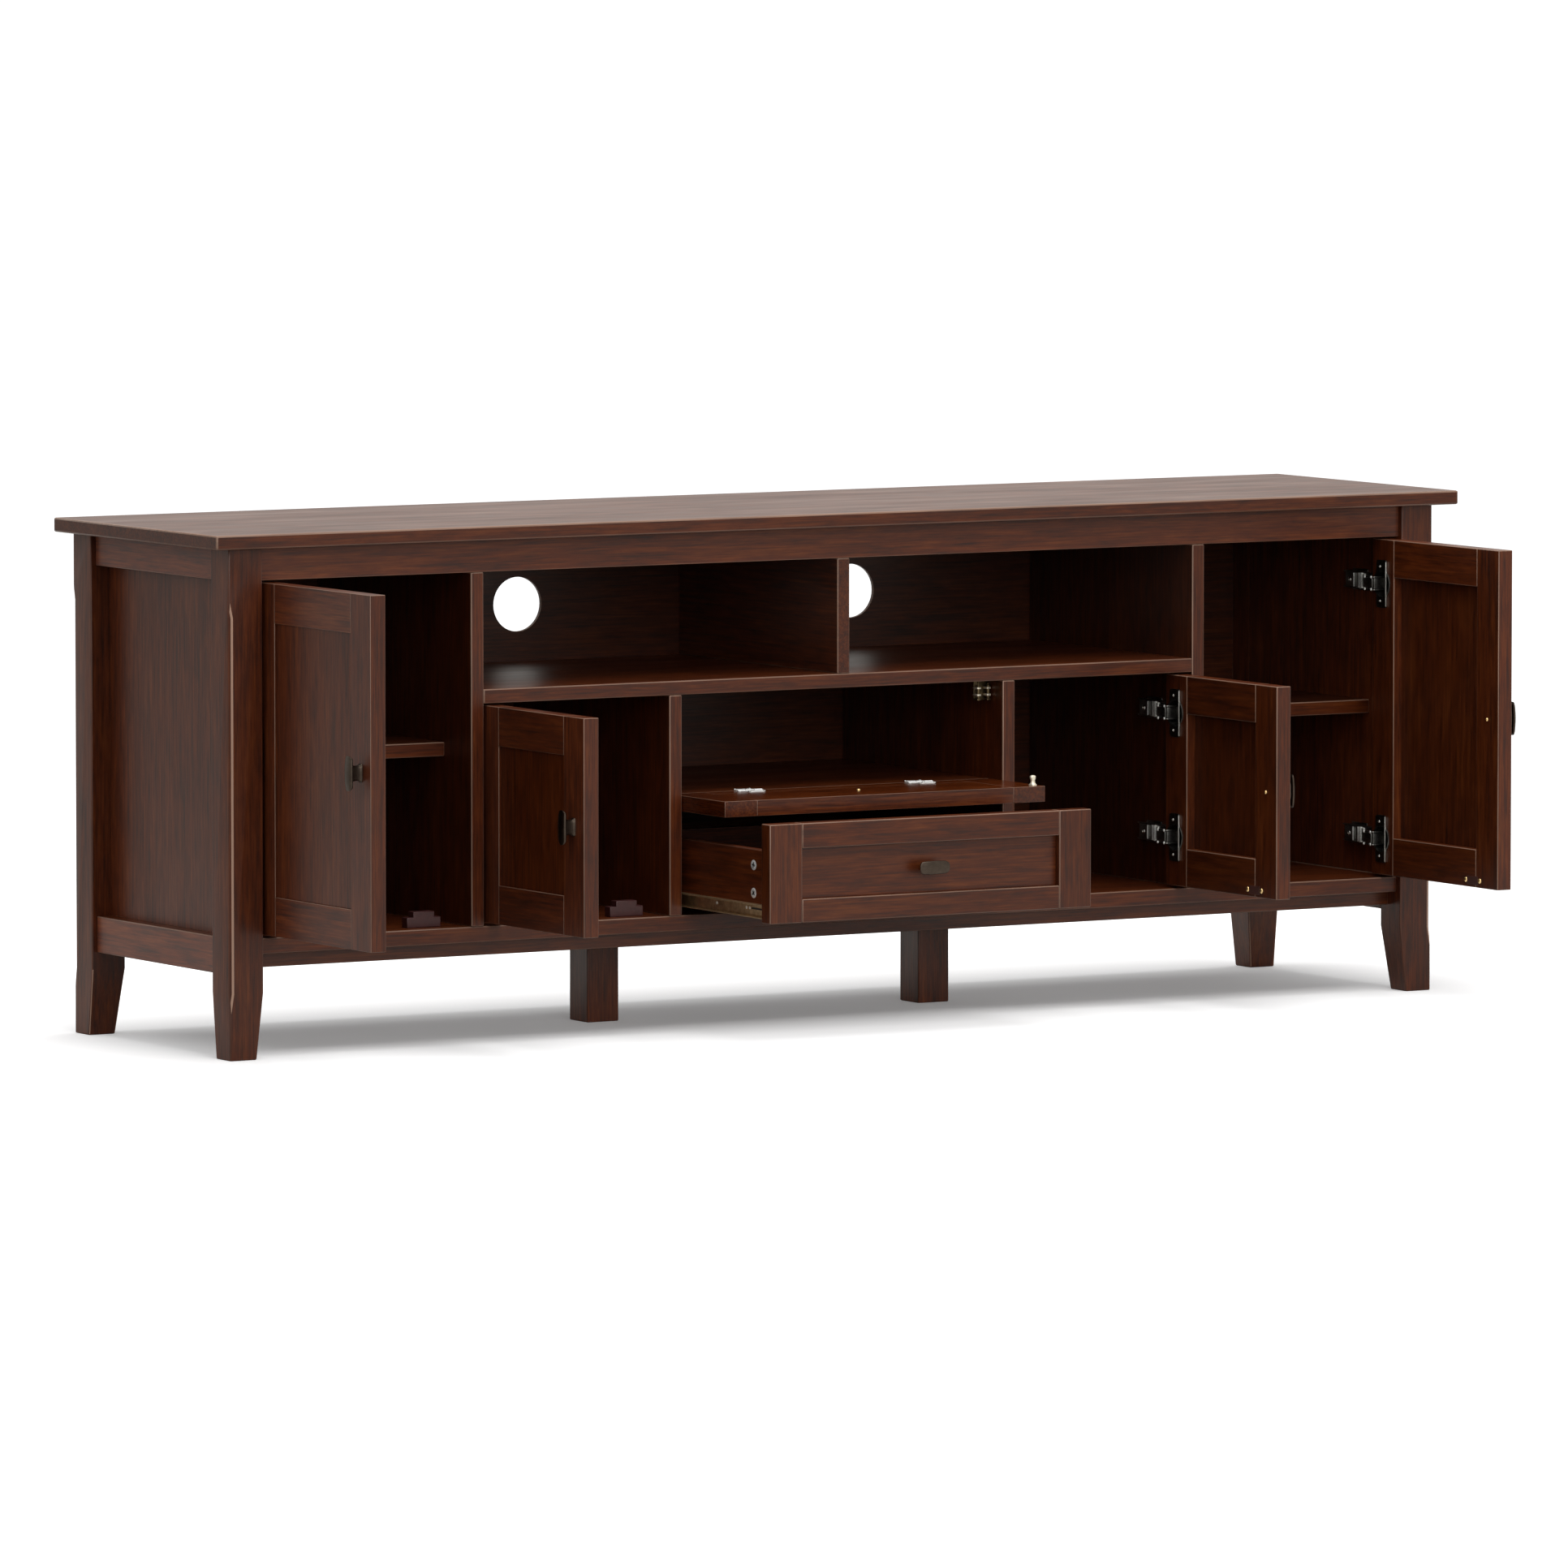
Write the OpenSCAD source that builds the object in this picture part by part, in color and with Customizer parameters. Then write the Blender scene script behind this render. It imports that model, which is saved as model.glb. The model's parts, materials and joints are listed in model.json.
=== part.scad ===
// TV stand of stained wood: six legs, four inset doors, a fall flap and a drawer.
// X runs along the front, Y into the depth, Z up. Every piece is drawn at rest:
// the doors and the flap stand open and the drawer is pulled out.

/* [Top] */
// width of the top slab
top_w = 1829; // [1700:1:2000]
// depth of the top slab
top_d = 432; // [400:1:480]
// thickness of the top slab
top_t = 18; // [15:0.5:25]
// height of the top face over the floor
total_h = 652; // [620:1:700]
// overhang of the top past the legs at each end
end_overhang = 27.5; // [15:0.5:40]
// overhang of the top past the legs at the front
front_overhang = 20; // [10:0.5:30]

/* [Legs] */
// side of the square corner legs
leg_w = 47; // [42:0.5:52]
// side of a corner leg at its foot
foot_w = 37.2; // [32:0.2:42]
// height where the inner faces start to taper
taper_h = 83.5; // [50:0.5:100]
// width of the stopped chamfer on the outer edge
chamfer_w = 4; // [2:0.5:6]
// height of the lower end of the chamfer
chamfer_low = 59; // [40:1:80]
// height of the upper end of the chamfer
chamfer_high = 567; // [520:1:580]
// length of the sloped stop at the lower end
stop_low = 24; // [10:1:40]
// length of the sloped stop at the upper end
stop_high = 19; // [10:1:40]
// side of the square middle legs
mid_leg_w = 46; // [40:0.5:50]
// front face of the middle legs behind the front edge of the top
mid_leg_y = 211; // [190:1:230]

/* [Case] */
// setback of the case front behind the legs
case_inset = 7; // [4:0.5:12]
// height of the front apron
apron_h = 41; // [35:0.5:50]
// thickness of the front apron
apron_t = 18; // [15:0.5:22]
// height of the floor panel's upper face
floor_z = 150; // [140:1:160]
// thickness of the floor panel
floor_t = 20; // [16:0.5:22]
// setback of the floor panel's edge behind the case front
floor_inset = 2; // [1:0.5:5]
// setback of the base rails behind the case front
rail_inset = 22; // [15:0.5:30]
// height of the base rails under the floor panel
base_rail_h = 18.4; // [12:0.2:30]
// thickness of the base rails
base_rail_t = 18; // [15:0.5:22]
// setback of the side rails behind the legs' outer faces
side_inset = 7; // [4:0.5:12]
// height of the lower side rails
side_rail_h = 46; // [40:0.5:55]
// upper face of the lower side rails over the floor panel
side_rail_rise = 1; // [0:0.5:3]
// setback of the side panels behind the legs' outer faces
side_panel_inset = 27; // [20:0.5:30]
// thickness of the dividers
divider_t = 18; // [15:0.5:20]
// clear width of each tall bay
tall_bay_w = 299; // [280:1:310]
// clear width of the middle bay
mid_bay_w = 474; // [450:1:490]
// underside of the middle shelf
mid_shelf_z = 428.5; // [420:0.5:436]
// thickness of the middle shelf
mid_shelf_t = 18; // [15:0.5:20]
// upper face of the board over the drawer
cover_z = 301.2; // [298:0.2:306]
// thickness of the board over the drawer
cover_t = 18; // [15:0.5:19]
// underside of the shelf in each tall bay
bay_shelf_z = 359; // [300:1:400]
// thickness of the shelf in each tall bay
bay_shelf_t = 18; // [15:0.5:20]
// setback of the bay shelves behind the case front
bay_shelf_inset = 68; // [60:1:120]
// thickness of the back panel
back_t = 5; // [3:0.5:6]
// setback of the back panel from the rear of the legs
back_inset = 2; // [1:0.5:6]
// radius of the two cable holes
cable_r = 35; // [25:1:45]
// distance of a cable hole from the centre line
cable_x = 249; // [180:1:300]

/* [Doors] */
// thickness of the doors and the drawer front
door_t = 21; // [20:0.5:24]
// setback of the closed fronts behind the case front
front_inset = 1; // [0:0.5:3]
// gap at each side edge of a door
door_gap = 2.5; // [2.4:0.1:3.5]
// gap over a door
door_gap_top = 2.5; // [2:0.5:4]
// gap under a door
door_gap_low = 4; // [3:0.5:5]
// width of the stiles
stile_w = 50; // [45:1:54]
// height of a door's rails
rail_h = 49; // [44:1:56]
// depth of the door panels behind the outer face
panel_recess = 3; // [2:0.5:6]
// thickness of the door and drawer panels
panel_t = 6; // [4:0.5:8]
// thickness of the glue line between a stile and a rail
glue_line = 0.05; // [0.03:0.01:0.1]
// distance of the pivot from the hinge edge
pivot_in = 11.5; // [11:0.1:12]
// depth of the pivot behind the outer face
pivot_deep = 9; // [8:0.1:9.5]
// clearance between the turning hinge edge and the wall
turn_fit = 0.25; // [0.2:0.05:0.5]

/* [Door hinges] */
// radius of the cup bore in the stile
cup_r = 17.5; // [17:0.1:17.5]
// distance of the cup's centre from the hinge edge
cup_in = 22.5; // [21.5:0.1:23]
// thickness of the cup's wall
cup_wall = 0.6; // [0.5:0.1:0.8]
// height of the cup's flange
flange_h = 62; // [56:1:66]
// width of the cup's flange
flange_w = 24; // [20:1:26]
// thickness of the cup's flange
flange_t = 1.5; // [1:0.1:2]
// width of the cup's round rim
rim_w = 1.5; // [1:0.1:2]
// radius of the hinge pins
pin_r = 1.2; // [1:0.1:1.3]
// running clearance around every hinge pin
pin_fit = 0.05; // [0.02:0.01:0.08]
// wall of the arm's eye around the pin
eye_wall = 0.8; // [0.6:0.1:0.9]
// width of the hinge arm at its eye
arm_w = 18; // [12:0.5:18]
// width of the hinge arm along the wall
arm_wall_w = 22; // [18:0.5:24]
// thickness of the hinge arm's hook
hook_t = 4; // [3:0.2:4]
// clearance between the arm's eye and the floor of the cup
arm_fit = 0.35; // [0.3:0.05:0.5]
// clearance between the arm's hook and the turning door
hook_fit = 2.5; // [2:0.1:3]
// reach of the hinge arm behind the pin
arm_reach = 110; // [90:1:120]
// distance of the arm's body from the wall
arm_high = 12; // [8:0.5:14]
// height of the mounting plate on the wall
plate_h = 28; // [24:1:50]
// length of the mounting plate along the wall
plate_l = 36; // [30:1:40]
// distance of the mounting plate from the end of the arm
plate_end = 14; // [8:1:20]
// thickness of the mounting plate
plate_t = 2; // [1:0.5:3]
// lower hinge of a tall door over the door's lower edge
tall_hinge_low = 46.5; // [40:0.5:80]
// upper hinge of a tall door under the door's upper edge
tall_hinge_high = 58; // [40:0.5:80]
// lower hinge of a small door over the door's lower edge
small_hinge_low = 62.5; // [40:0.5:80]
// upper hinge of a small door under the door's upper edge
small_hinge_high = 49; // [40:0.5:80]

/* [Catches] */
// width of a magnetic catch
catch_w = 48; // [40:1:56]
// width of the catch's raised middle
catch_top_w = 30; // [24:1:34]
// height of a catch
catch_h = 20; // [16:1:24]
// height of the catch's feet
catch_foot_h = 13; // [8:1:16]
// depth of a catch
catch_d = 14; // [10:1:20]
// distance between the catch's centre and a tall door's free edge
tall_catch_in = 52; // [44:1:60]
// distance between the catch's centre and a small door's free edge
small_catch_in = 46; // [40:1:56]
// distance between the two strike screws
strike_gap = 32; // [24:1:36]
// offset of the strike screws' middle from the catch's middle
strike_shift = 5; // [0:0.5:6]
// height of the strike screws over a door's lower edge
strike_z = 9; // [7:0.5:12]
// radius of a strike screw's head
strike_r = 3.3; // [2.5:0.1:4]
// height of a strike screw's head
strike_h = 2; // [1.5:0.1:2.5]

/* [Knobs] */
// length of a knob's grip
grip_l = 42; // [36:1:48]
// width of a knob's grip
grip_w = 16; // [14:0.5:22]
// thickness of a knob's grip
grip_t = 6.4; // [6:0.2:10]
// radius of the corners of a knob's grip
grip_round = 4; // [2:0.5:6]
// length of a knob's stem
stem_l = 20; // [16:1:28]
// width of a knob's stem
stem_w = 10; // [8:0.5:14]
// distance between the door and the grip
stem_out = 13; // [10:0.2:16]
// distance of a door knob from the free edge
knob_in = 25.5; // [22:0.5:28]
// radius of the head of a knob's screw
knob_screw_r = 2.8; // [2:0.1:3.5]

/* [Flap] */
// thickness of the flap
flap_t = 20; // [18:0.5:20]
// height of the closed flap
flap_h = 135.5; // [130:0.5:136]
// gap at each side of the flap and the drawer front
flap_gap = 1.25; // [1:0.05:2]
// distance of the flap's pivot from its hinge edge
flap_pivot_in = 10; // [9.8:0.1:10.2]
// radius of the flap's rounded lower edge
flap_round = 6; // [6:0.5:8]
// clearance of the drawer front under the turning flap
sweep_fit = 0.6; // [0.5:0.1:1]
// depth of the panel in the flap's outer face
flap_recess = 12; // [12:0.5:13]
// width of the stiles of the flap and the drawer front
front_stile_w = 47; // [42:1:52]
// height of the rails of the flap
flap_rail_h = 31; // [26:1:34]
// thickness of the grip under the flap
flap_grip_t = 6; // [5:0.2:6]
// distance of the flap's hinges from the centre line
flap_hinge_x = 126; // [100:1:160]
// length of a flap hinge
flap_hinge_l = 37; // [30:1:42]
// radius of the flap hinge's knuckles
knuckle_r = 2.4; // [2.2:0.1:2.6]
// radius of the flap hinge's pin
flap_pin_r = 1; // [0.8:0.1:1.2]
// thickness of the hinge leaves
leaf_t = 1.2; // [1:0.1:1.4]
// length of a hinge leaf from its pin
leaf_l = 24; // [18:1:30]
// clearance around the flap hinge's moving parts
leaf_fit = 0.3; // [0.3:0.05:0.5]
// gap between the flap's hinge edge and the board over the drawer
cover_gap = 1; // [0.5:0.1:2]

/* [Flap catch] */
// distance of the strike from the flap's right edge
spear_side = 10; // [9.5:0.1:10.5]
// distance of the strike from the flap's free edge
spear_in = 13.5; // [12:0.5:16]
// width of the strike's head
spear_w = 8; // [6:0.2:8]
// width of the strike's neck
neck_w = 4; // [3:0.2:5]
// height of the strike
spear_h = 13; // [11:0.5:13]
// radius of a catch roller
roller_r = 3; // [2.5:0.1:3]
// length of a catch roller
roller_l = 18; // [14:1:20]
// clearance between the strike's head and a roller
roller_fit = 0.3; // [0.2:0.05:0.4]

/* [Drawer] */
// how far the drawer is pulled out at rest
drawer_out = 216; // [150:1:230]
// underside of the drawer front over the floor panel
drawer_gap_low = 5.5; // [4:0.5:8]
// depth of the panel behind the drawer front's outer face
drawer_recess = 9; // [3:0.5:12]
// height of the drawer front's upper rail
drawer_rail_high = 31.5; // [26:0.5:36]
// height of the drawer front's lower rail
drawer_rail_low = 29.5; // [26:0.5:36]
// thickness of the drawer's sides and back
side_t = 12; // [10:0.5:15]
// room between a drawer side and the divider
slide_room = 13; // [12.5:0.5:14]
// underside of the drawer sides
drawer_side_z = 162; // [160:1:170]
// height of the drawer sides
drawer_side_h = 83; // [60:1:90]
// length of the drawer sides
drawer_side_l = 345; // [300:1:345]
// thickness of the drawer bottom
drawer_bottom_t = 4; // [3:0.5:6]
// height of the drawer bottom over the sides' lower edge
drawer_bottom_up = 8; // [6:1:14]
// height of a runner on the drawer
runner_h = 17; // [14:0.5:18]
// thickness of the runners' metal
runner_t = 1.2; // [1:0.1:1.5]
// depth of a runner's lips
runner_lip = 8; // [6:0.5:9]
// gap between the two runners of a pair
runner_fit = 0.6; // [0.4:0.1:0.8]
// runner's lower edge under the drawer side's lower edge
runner_drop = 1.6; // [1:0.2:1.6]
// radius of a drawer cam lock
cam_r = 6.5; // [5:0.5:7.5]
// distance of the cam locks behind the drawer front
cam_in = 39; // [30:1:45]
// height of a cam lock's face over the wood
cam_out = 0.6; // [0.4:0.1:1]
// distance between the two cam locks of a side
cam_gap = 35; // [30:1:45]

/* [Hidden] */
eps = 0.01;
seat = 0.3;
face_n = 64;
small_n = 32;

// heights and planes of the case
slab_z = total_h - top_t;
leg_x = top_w / 2 - end_overhang;
bay_x = leg_x - leg_w;
case_y = front_overhang + case_inset;
back_y = top_d - back_inset - back_t;
apron_z = slab_z - apron_h;
floor_low_z = floor_z - floor_t;
base_rail_z = floor_low_z - base_rail_h;
mid_shelf_top = mid_shelf_z + mid_shelf_t;
tall_divider_x = bay_x - tall_bay_w - divider_t;
lower_divider_x = mid_bay_w / 2;
small_bay_w = tall_divider_x - lower_divider_x - divider_t;
front_y = case_y + front_inset;
cable_z = (mid_shelf_top + apron_z) / 2;

// sizes and pivots of the doors
tall_w = tall_bay_w - 2 * door_gap;
small_w = small_bay_w - 2 * door_gap;
door_z = floor_z + door_gap_low;
tall_h = apron_z - door_gap_top - door_z;
small_h = mid_shelf_z - door_gap_top - door_z;
pivot_side = door_gap + pivot_in;
pivot_y = front_y + pivot_deep;
inner_y = door_t - pivot_deep;
hinge_ease = pivot_deep - sqrt(pow(pivot_side - turn_fit, 2) - pow(pivot_in, 2));
cup_x = cup_in - pivot_in;
eye_r = pin_r + pin_fit + eye_wall;
cup_deep = inner_y + eye_r + arm_fit + cup_wall;
cup_floor_y = inner_y - cup_deep;
tall_zs = [door_z + tall_hinge_low, door_z + tall_h - tall_hinge_high];
small_zs = [door_z + small_hinge_low, door_z + small_h - small_hinge_high];

// planes of the flap and the drawer
flap_w = mid_bay_w - 2 * flap_gap;
flap_pivot_y = front_y + flap_t;
flap_edge_y = flap_pivot_y + flap_pivot_in;
cover_y = flap_edge_y + cover_gap;
spear_x = flap_w / 2 - spear_side;
spear_y = flap_pivot_y + spear_h - spear_w / 2;
spear_closed_z = cover_z - flap_pivot_in + flap_h - spear_in;
roller_x = spear_w / 2 + roller_fit + roller_r;
flap_sweep = norm([flap_pivot_in - flap_round, flap_t - flap_round]) + flap_round;
drawer_y = front_y - drawer_out;
drawer_z = floor_z + drawer_gap_low;
drawer_front_z = cover_z - flap_sweep - sweep_fit;
drawer_side_y = drawer_y + door_t;
drawer_back_y = drawer_side_y + drawer_side_l;
drawer_bottom_z = drawer_side_z + drawer_bottom_up;
drawer_side_x = mid_bay_w / 2 - slide_room;
runner_z = drawer_side_z - runner_drop;
runner_out = slide_room - runner_t - 2 * runner_fit;

// the origin lies under the middle of the box that holds the part at rest
open_front_y = pivot_y + pivot_in - tall_w;
centre_y = (top_d + open_front_y) / 2;

wood = [0.23, 0.12, 0.09];
wood_dark = [0.16, 0.07, 0.05];
nickel = [0.16, 0.16, 0.16];
bronze = [0.20, 0.16, 0.13];
brass = [0.72, 0.55, 0.30];
steel = [0.80, 0.80, 0.80];
maroon = [0.25, 0.08, 0.08];

module placed() {
    translate([0, -centre_y, 0]) children();
}

module at_both_ends() {
    children();
    mirror([1, 0, 0]) children();
}

// a board from its lowest and highest corner
module board(low, high) {
    translate(low) cube(high - low);
}

// the top and the legs

module top_slab() {
    color(wood) placed()
        board([-top_w / 2, 0, slab_z], [top_w / 2, top_d, total_h]);
}

// outer edge on the Z axis, inner faces towards +X and +Y
module corner_leg() {
    taper = leg_w - foot_w;
    deep = chamfer_w / sqrt(2);
    difference() {
        cube([leg_w, leg_w, slab_z]);
        translate([0, leg_w + 1, 0]) rotate([90, 0, 0])
            linear_extrude(leg_w + 2)
                polygon([[foot_w, -eps], [leg_w, taper_h], [leg_w + 1, taper_h], [leg_w + 1, -eps]]);
        translate([-1, 0, 0]) rotate([90, 0, 90])
            linear_extrude(leg_w + 2)
                polygon([[foot_w, -eps], [leg_w, taper_h], [leg_w + 1, taper_h], [leg_w + 1, -eps]]);
        rotate([0, 0, 45]) rotate([90, 0, 0])
            linear_extrude(4 * chamfer_w, center = true)
                polygon([[-1, chamfer_low], [0, chamfer_low], [deep, chamfer_low + stop_low],
                    [deep, chamfer_high - stop_high], [0, chamfer_high], [-1, chamfer_high]]);
    }
}

module front_left_leg() {
    color(wood) placed() translate([-leg_x, front_overhang, 0]) corner_leg();
}

module front_right_leg() {
    color(wood) placed() translate([leg_x, front_overhang, 0]) mirror([1, 0, 0]) corner_leg();
}

module back_left_leg() {
    color(wood) placed() translate([-leg_x, top_d, 0]) mirror([0, 1, 0]) corner_leg();
}

module back_right_leg() {
    color(wood) placed() translate([leg_x, top_d, 0]) rotate([0, 0, 180]) corner_leg();
}

module middle_leg(side) {
    x = side * (lower_divider_x + divider_t / 2) - mid_leg_w / 2;
    board([x, mid_leg_y, 0], [x + mid_leg_w, mid_leg_y + mid_leg_w, floor_low_z]);
}

module middle_left_leg() {
    color(wood) placed() middle_leg(-1);
}

module middle_right_leg() {
    color(wood) placed() middle_leg(1);
}

// the case

module front_apron() {
    color(wood) placed()
        board([-bay_x, case_y, apron_z], [bay_x, case_y + apron_t, slab_z]);
}

module base_rails() {
    front = case_y + rail_inset;
    color(wood) placed() {
        board([-bay_x, front, base_rail_z], [bay_x, front + base_rail_t, floor_low_z]);
        board([-bay_x, back_y - base_rail_t, base_rail_z], [bay_x, back_y, floor_low_z]);
    }
}

module side_rails() {
    front = front_overhang + leg_w;
    back = top_d - leg_w;
    low = floor_z + side_rail_rise - side_rail_h;
    board([bay_x, front, low], [leg_x - side_inset, back, low + side_rail_h]);
    board([bay_x, front, apron_z], [leg_x - side_inset, back, slab_z]);
}

module left_side_rails() {
    color(wood) placed() mirror([1, 0, 0]) side_rails();
}

module right_side_rails() {
    color(wood) placed() side_rails();
}

module side_panel() {
    board([bay_x, front_overhang + leg_w, floor_z + side_rail_rise],
        [leg_x - side_panel_inset, top_d - leg_w, apron_z]);
}

module left_side_panel() {
    color(wood) placed() mirror([1, 0, 0]) side_panel();
}

module right_side_panel() {
    color(wood) placed() side_panel();
}

module floor_panel() {
    color(wood) placed()
        board([-bay_x, case_y + floor_inset, floor_low_z], [bay_x, back_y, floor_z]);
}

// a wall with its upper front corner cut out for the apron
module wall(x, low_z) {
    difference() {
        board([x, case_y, low_z], [x + divider_t, back_y, slab_z]);
        board([x - 1, case_y - 1, apron_z], [x + divider_t + 1, case_y + apron_t, slab_z + 1]);
    }
}

module left_divider() {
    color(wood) placed() wall(-tall_divider_x - divider_t, floor_z);
}

module right_divider() {
    color(wood) placed() wall(tall_divider_x, floor_z);
}

module upper_divider() {
    color(wood) placed() wall(-divider_t / 2, mid_shelf_top);
}

module lower_dividers() {
    color(wood) placed() at_both_ends()
        board([lower_divider_x, case_y, floor_z], [lower_divider_x + divider_t, back_y, mid_shelf_z]);
}

module middle_shelf() {
    color(wood) placed()
        board([-tall_divider_x, case_y, mid_shelf_z], [tall_divider_x, back_y, mid_shelf_top]);
}

module drawer_cover_board() {
    color(wood) placed()
        board([-lower_divider_x, cover_y, cover_z - cover_t], [lower_divider_x, back_y, cover_z]);
}

module bay_shelf() {
    board([bay_x - tall_bay_w, case_y + bay_shelf_inset, bay_shelf_z],
        [bay_x, back_y, bay_shelf_z + bay_shelf_t]);
}

module bay_shelves() {
    color(wood) placed() at_both_ends() bay_shelf();
}

module back_panel() {
    color(wood_dark) placed() difference() {
        board([-bay_x, back_y, floor_low_z], [bay_x, back_y + back_t, slab_z]);
        at_both_ends() translate([cable_x, back_y + back_t + 1, cable_z]) rotate([90, 0, 0])
            cylinder(r = cable_r, h = back_t + 2, $fn = face_n);
    }
}

// a stepped block behind the closed door, its raised middle in front of the strike screws
module door_catch(x) {
    y = front_y + door_t + strike_h + seat;
    difference() {
        board([x - catch_w / 2, y, floor_z], [x + catch_w / 2, y + catch_d, floor_z + catch_h]);
        for (side = [-1, 1])
            translate([x + side * (catch_w + catch_top_w) / 4, y - 1, floor_z + catch_foot_h])
                translate([-(catch_w - catch_top_w) / 4 - (side < 0 ? 1 : 0), 0, 0])
                    cube([(catch_w - catch_top_w) / 2 + 1, catch_d + 2, catch_h]);
    }
}

module door_catches() {
    tall_edge = tall_divider_x + divider_t + door_gap;
    small_edge = lower_divider_x + divider_t + door_gap;
    color(maroon) placed() at_both_ends() {
        door_catch(tall_edge + tall_catch_in);
        door_catch(small_edge + small_catch_in);
    }
}

// the hinges' fixed arms: the pin is on the Z axis and the wall lies at -X

module hinge_arm() {
    leg_t = 2 * eye_r;
    hook_x = inner_y + flange_t + hook_fit;
    hook_y = norm([pivot_in, inner_y]) + hook_fit;
    hook_end = hook_x + hook_t;
    plate_y = arm_reach - plate_end - plate_l;
    difference() {
        union() {
            cylinder(r = eye_r, h = arm_w, center = true, $fn = small_n);
            translate([0, -leg_t / 2, -arm_w / 2]) cube([hook_end, leg_t, arm_w]);
            translate([hook_x, -leg_t / 2, -arm_w / 2])
                cube([hook_t, leg_t / 2 + hook_y + hook_t, arm_w]);
            translate([-pivot_side, hook_y, -arm_w / 2])
                cube([pivot_side + hook_end, hook_t, arm_w]);
            translate([-pivot_side, hook_y, -arm_wall_w / 2])
                cube([arm_high, arm_reach - hook_y, arm_wall_w]);
            translate([-pivot_side, plate_y, -plate_h / 2]) cube([plate_t, plate_l, plate_h]);
        }
        cylinder(r = pin_r + pin_fit, h = arm_w + 2, center = true, $fn = small_n);
    }
}

module hinge_arms() {
    color(nickel) placed() at_both_ends() {
        for (z = tall_zs)
            translate([-bay_x + pivot_side, pivot_y, z]) hinge_arm();
        for (z = small_zs)
            translate([-tall_divider_x + pivot_side, pivot_y, z]) hinge_arm();
    }
}

// the doors, drawn shut with the pivot on the Z axis, outer face towards -Y and hinged at -X

module door_frame(w, h, hinge_zs) {
    x = -pivot_in;
    y = -pivot_deep;
    rail_x = x + stile_w + glue_line;
    rail_end = x + w - stile_w - glue_line;
    difference() {
        board([x, y, 0], [x + stile_w, y + door_t, h]);
        translate([x, y, -1]) rotate([0, 0, 45])
            cube([hinge_ease * sqrt(2), hinge_ease * sqrt(2), 2 * h + 4], center = true);
        for (z = hinge_zs)
            translate([cup_x, cup_floor_y, z]) rotate([-90, 0, 0])
                cylinder(r = cup_r, h = cup_deep + 1, $fn = face_n);
    }
    board([x + w - stile_w, y, 0], [x + w, y + door_t, h]);
    board([rail_x, y, 0], [rail_end, y + door_t, rail_h]);
    board([rail_x, y, h - rail_h], [rail_end, y + door_t, h]);
}

module door_panel(w, h) {
    x = -pivot_in;
    y = -pivot_deep + panel_recess;
    board([x + stile_w, y, rail_h], [x + w - stile_w, y + panel_t, h - rail_h]);
}

// a bar with round ends on a short stem, standing out towards -Y
module knob(out, thick) {
    translate([0, -out, 0]) rotate([90, 0, 0]) linear_extrude(thick) {
        square([grip_w - 2 * grip_round, grip_l], center = true);
        square([grip_w, grip_l - 2 * grip_round], center = true);
        for (x = [-1, 1], z = [-1, 1])
            translate([x * (grip_w / 2 - grip_round), z * (grip_l / 2 - grip_round)])
                circle(r = grip_round, $fn = small_n);
    }
    translate([-stem_w / 2, -out - eps, -stem_l / 2]) cube([stem_w, out + eps, stem_l]);
}

module door_knob(w, h) {
    translate([w - pivot_in - knob_in, -pivot_deep, h / 2]) knob(stem_out, grip_t);
}

// cup, flange and pin of each hinge, in the door's bore
module door_cups(hinge_zs) {
    for (z = hinge_zs) translate([0, 0, z]) {
        difference() {
            union() {
                translate([cup_x, cup_floor_y, 0]) rotate([-90, 0, 0])
                    cylinder(r = cup_r, h = cup_deep, $fn = face_n);
                translate([cup_x, inner_y, 0]) rotate([-90, 0, 0])
                    cylinder(r = cup_r + rim_w, h = flange_t, $fn = face_n);
                board([cup_x - flange_w / 2, inner_y, -flange_h / 2],
                    [cup_x + flange_w / 2, inner_y + flange_t, flange_h / 2]);
            }
            translate([cup_x, cup_floor_y + cup_wall, 0]) rotate([-90, 0, 0])
                cylinder(r = cup_r - cup_wall, h = cup_deep + flange_t + 1, $fn = face_n);
        }
        intersection() {
            cylinder(r = pin_r, h = 2 * cup_r, center = true, $fn = small_n);
            translate([cup_x, cup_floor_y, 0]) rotate([-90, 0, 0])
                cylinder(r = cup_r - cup_wall / 2, h = cup_deep, $fn = face_n);
        }
    }
}

// a round screw head that stands out towards +Y
module screw_head(r, h) {
    rotate([-90, 0, 0]) intersection() {
        cylinder(r = r, h = h, $fn = small_n);
        translate([0, 0, h - 1.5 * r]) sphere(r = 1.5 * r, $fn = small_n);
    }
}

module door_screws(w, h, catch_in) {
    edge = w - pivot_in;
    strike_x = edge - catch_in - strike_shift;
    for (side = [-1, 1])
        translate([strike_x + side * strike_gap / 2, inner_y, strike_z])
            screw_head(strike_r, strike_h);
    translate([edge - knob_in, inner_y, h / 2]) screw_head(knob_screw_r, strike_h);
}

// turns a shut door open, and places its pivot against the left wall at x
module hung(x) {
    placed() translate([x + pivot_side, pivot_y, door_z]) rotate([0, 0, -90]) children();
}

tall_cups = [tall_hinge_low, tall_h - tall_hinge_high];
small_cups = [small_hinge_low, small_h - small_hinge_high];

module left_tall_frame() {
    color(wood) hung(-bay_x) door_frame(tall_w, tall_h, tall_cups);
}

module left_tall_panel() {
    color(wood) hung(-bay_x) door_panel(tall_w, tall_h);
}

module left_tall_knob() {
    color(bronze) hung(-bay_x) door_knob(tall_w, tall_h);
}

module left_tall_cups() {
    color(nickel) hung(-bay_x) door_cups(tall_cups);
}

module left_tall_screws() {
    color(brass) hung(-bay_x) door_screws(tall_w, tall_h, tall_catch_in);
}

module left_small_frame() {
    color(wood) hung(-tall_divider_x) door_frame(small_w, small_h, small_cups);
}

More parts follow.
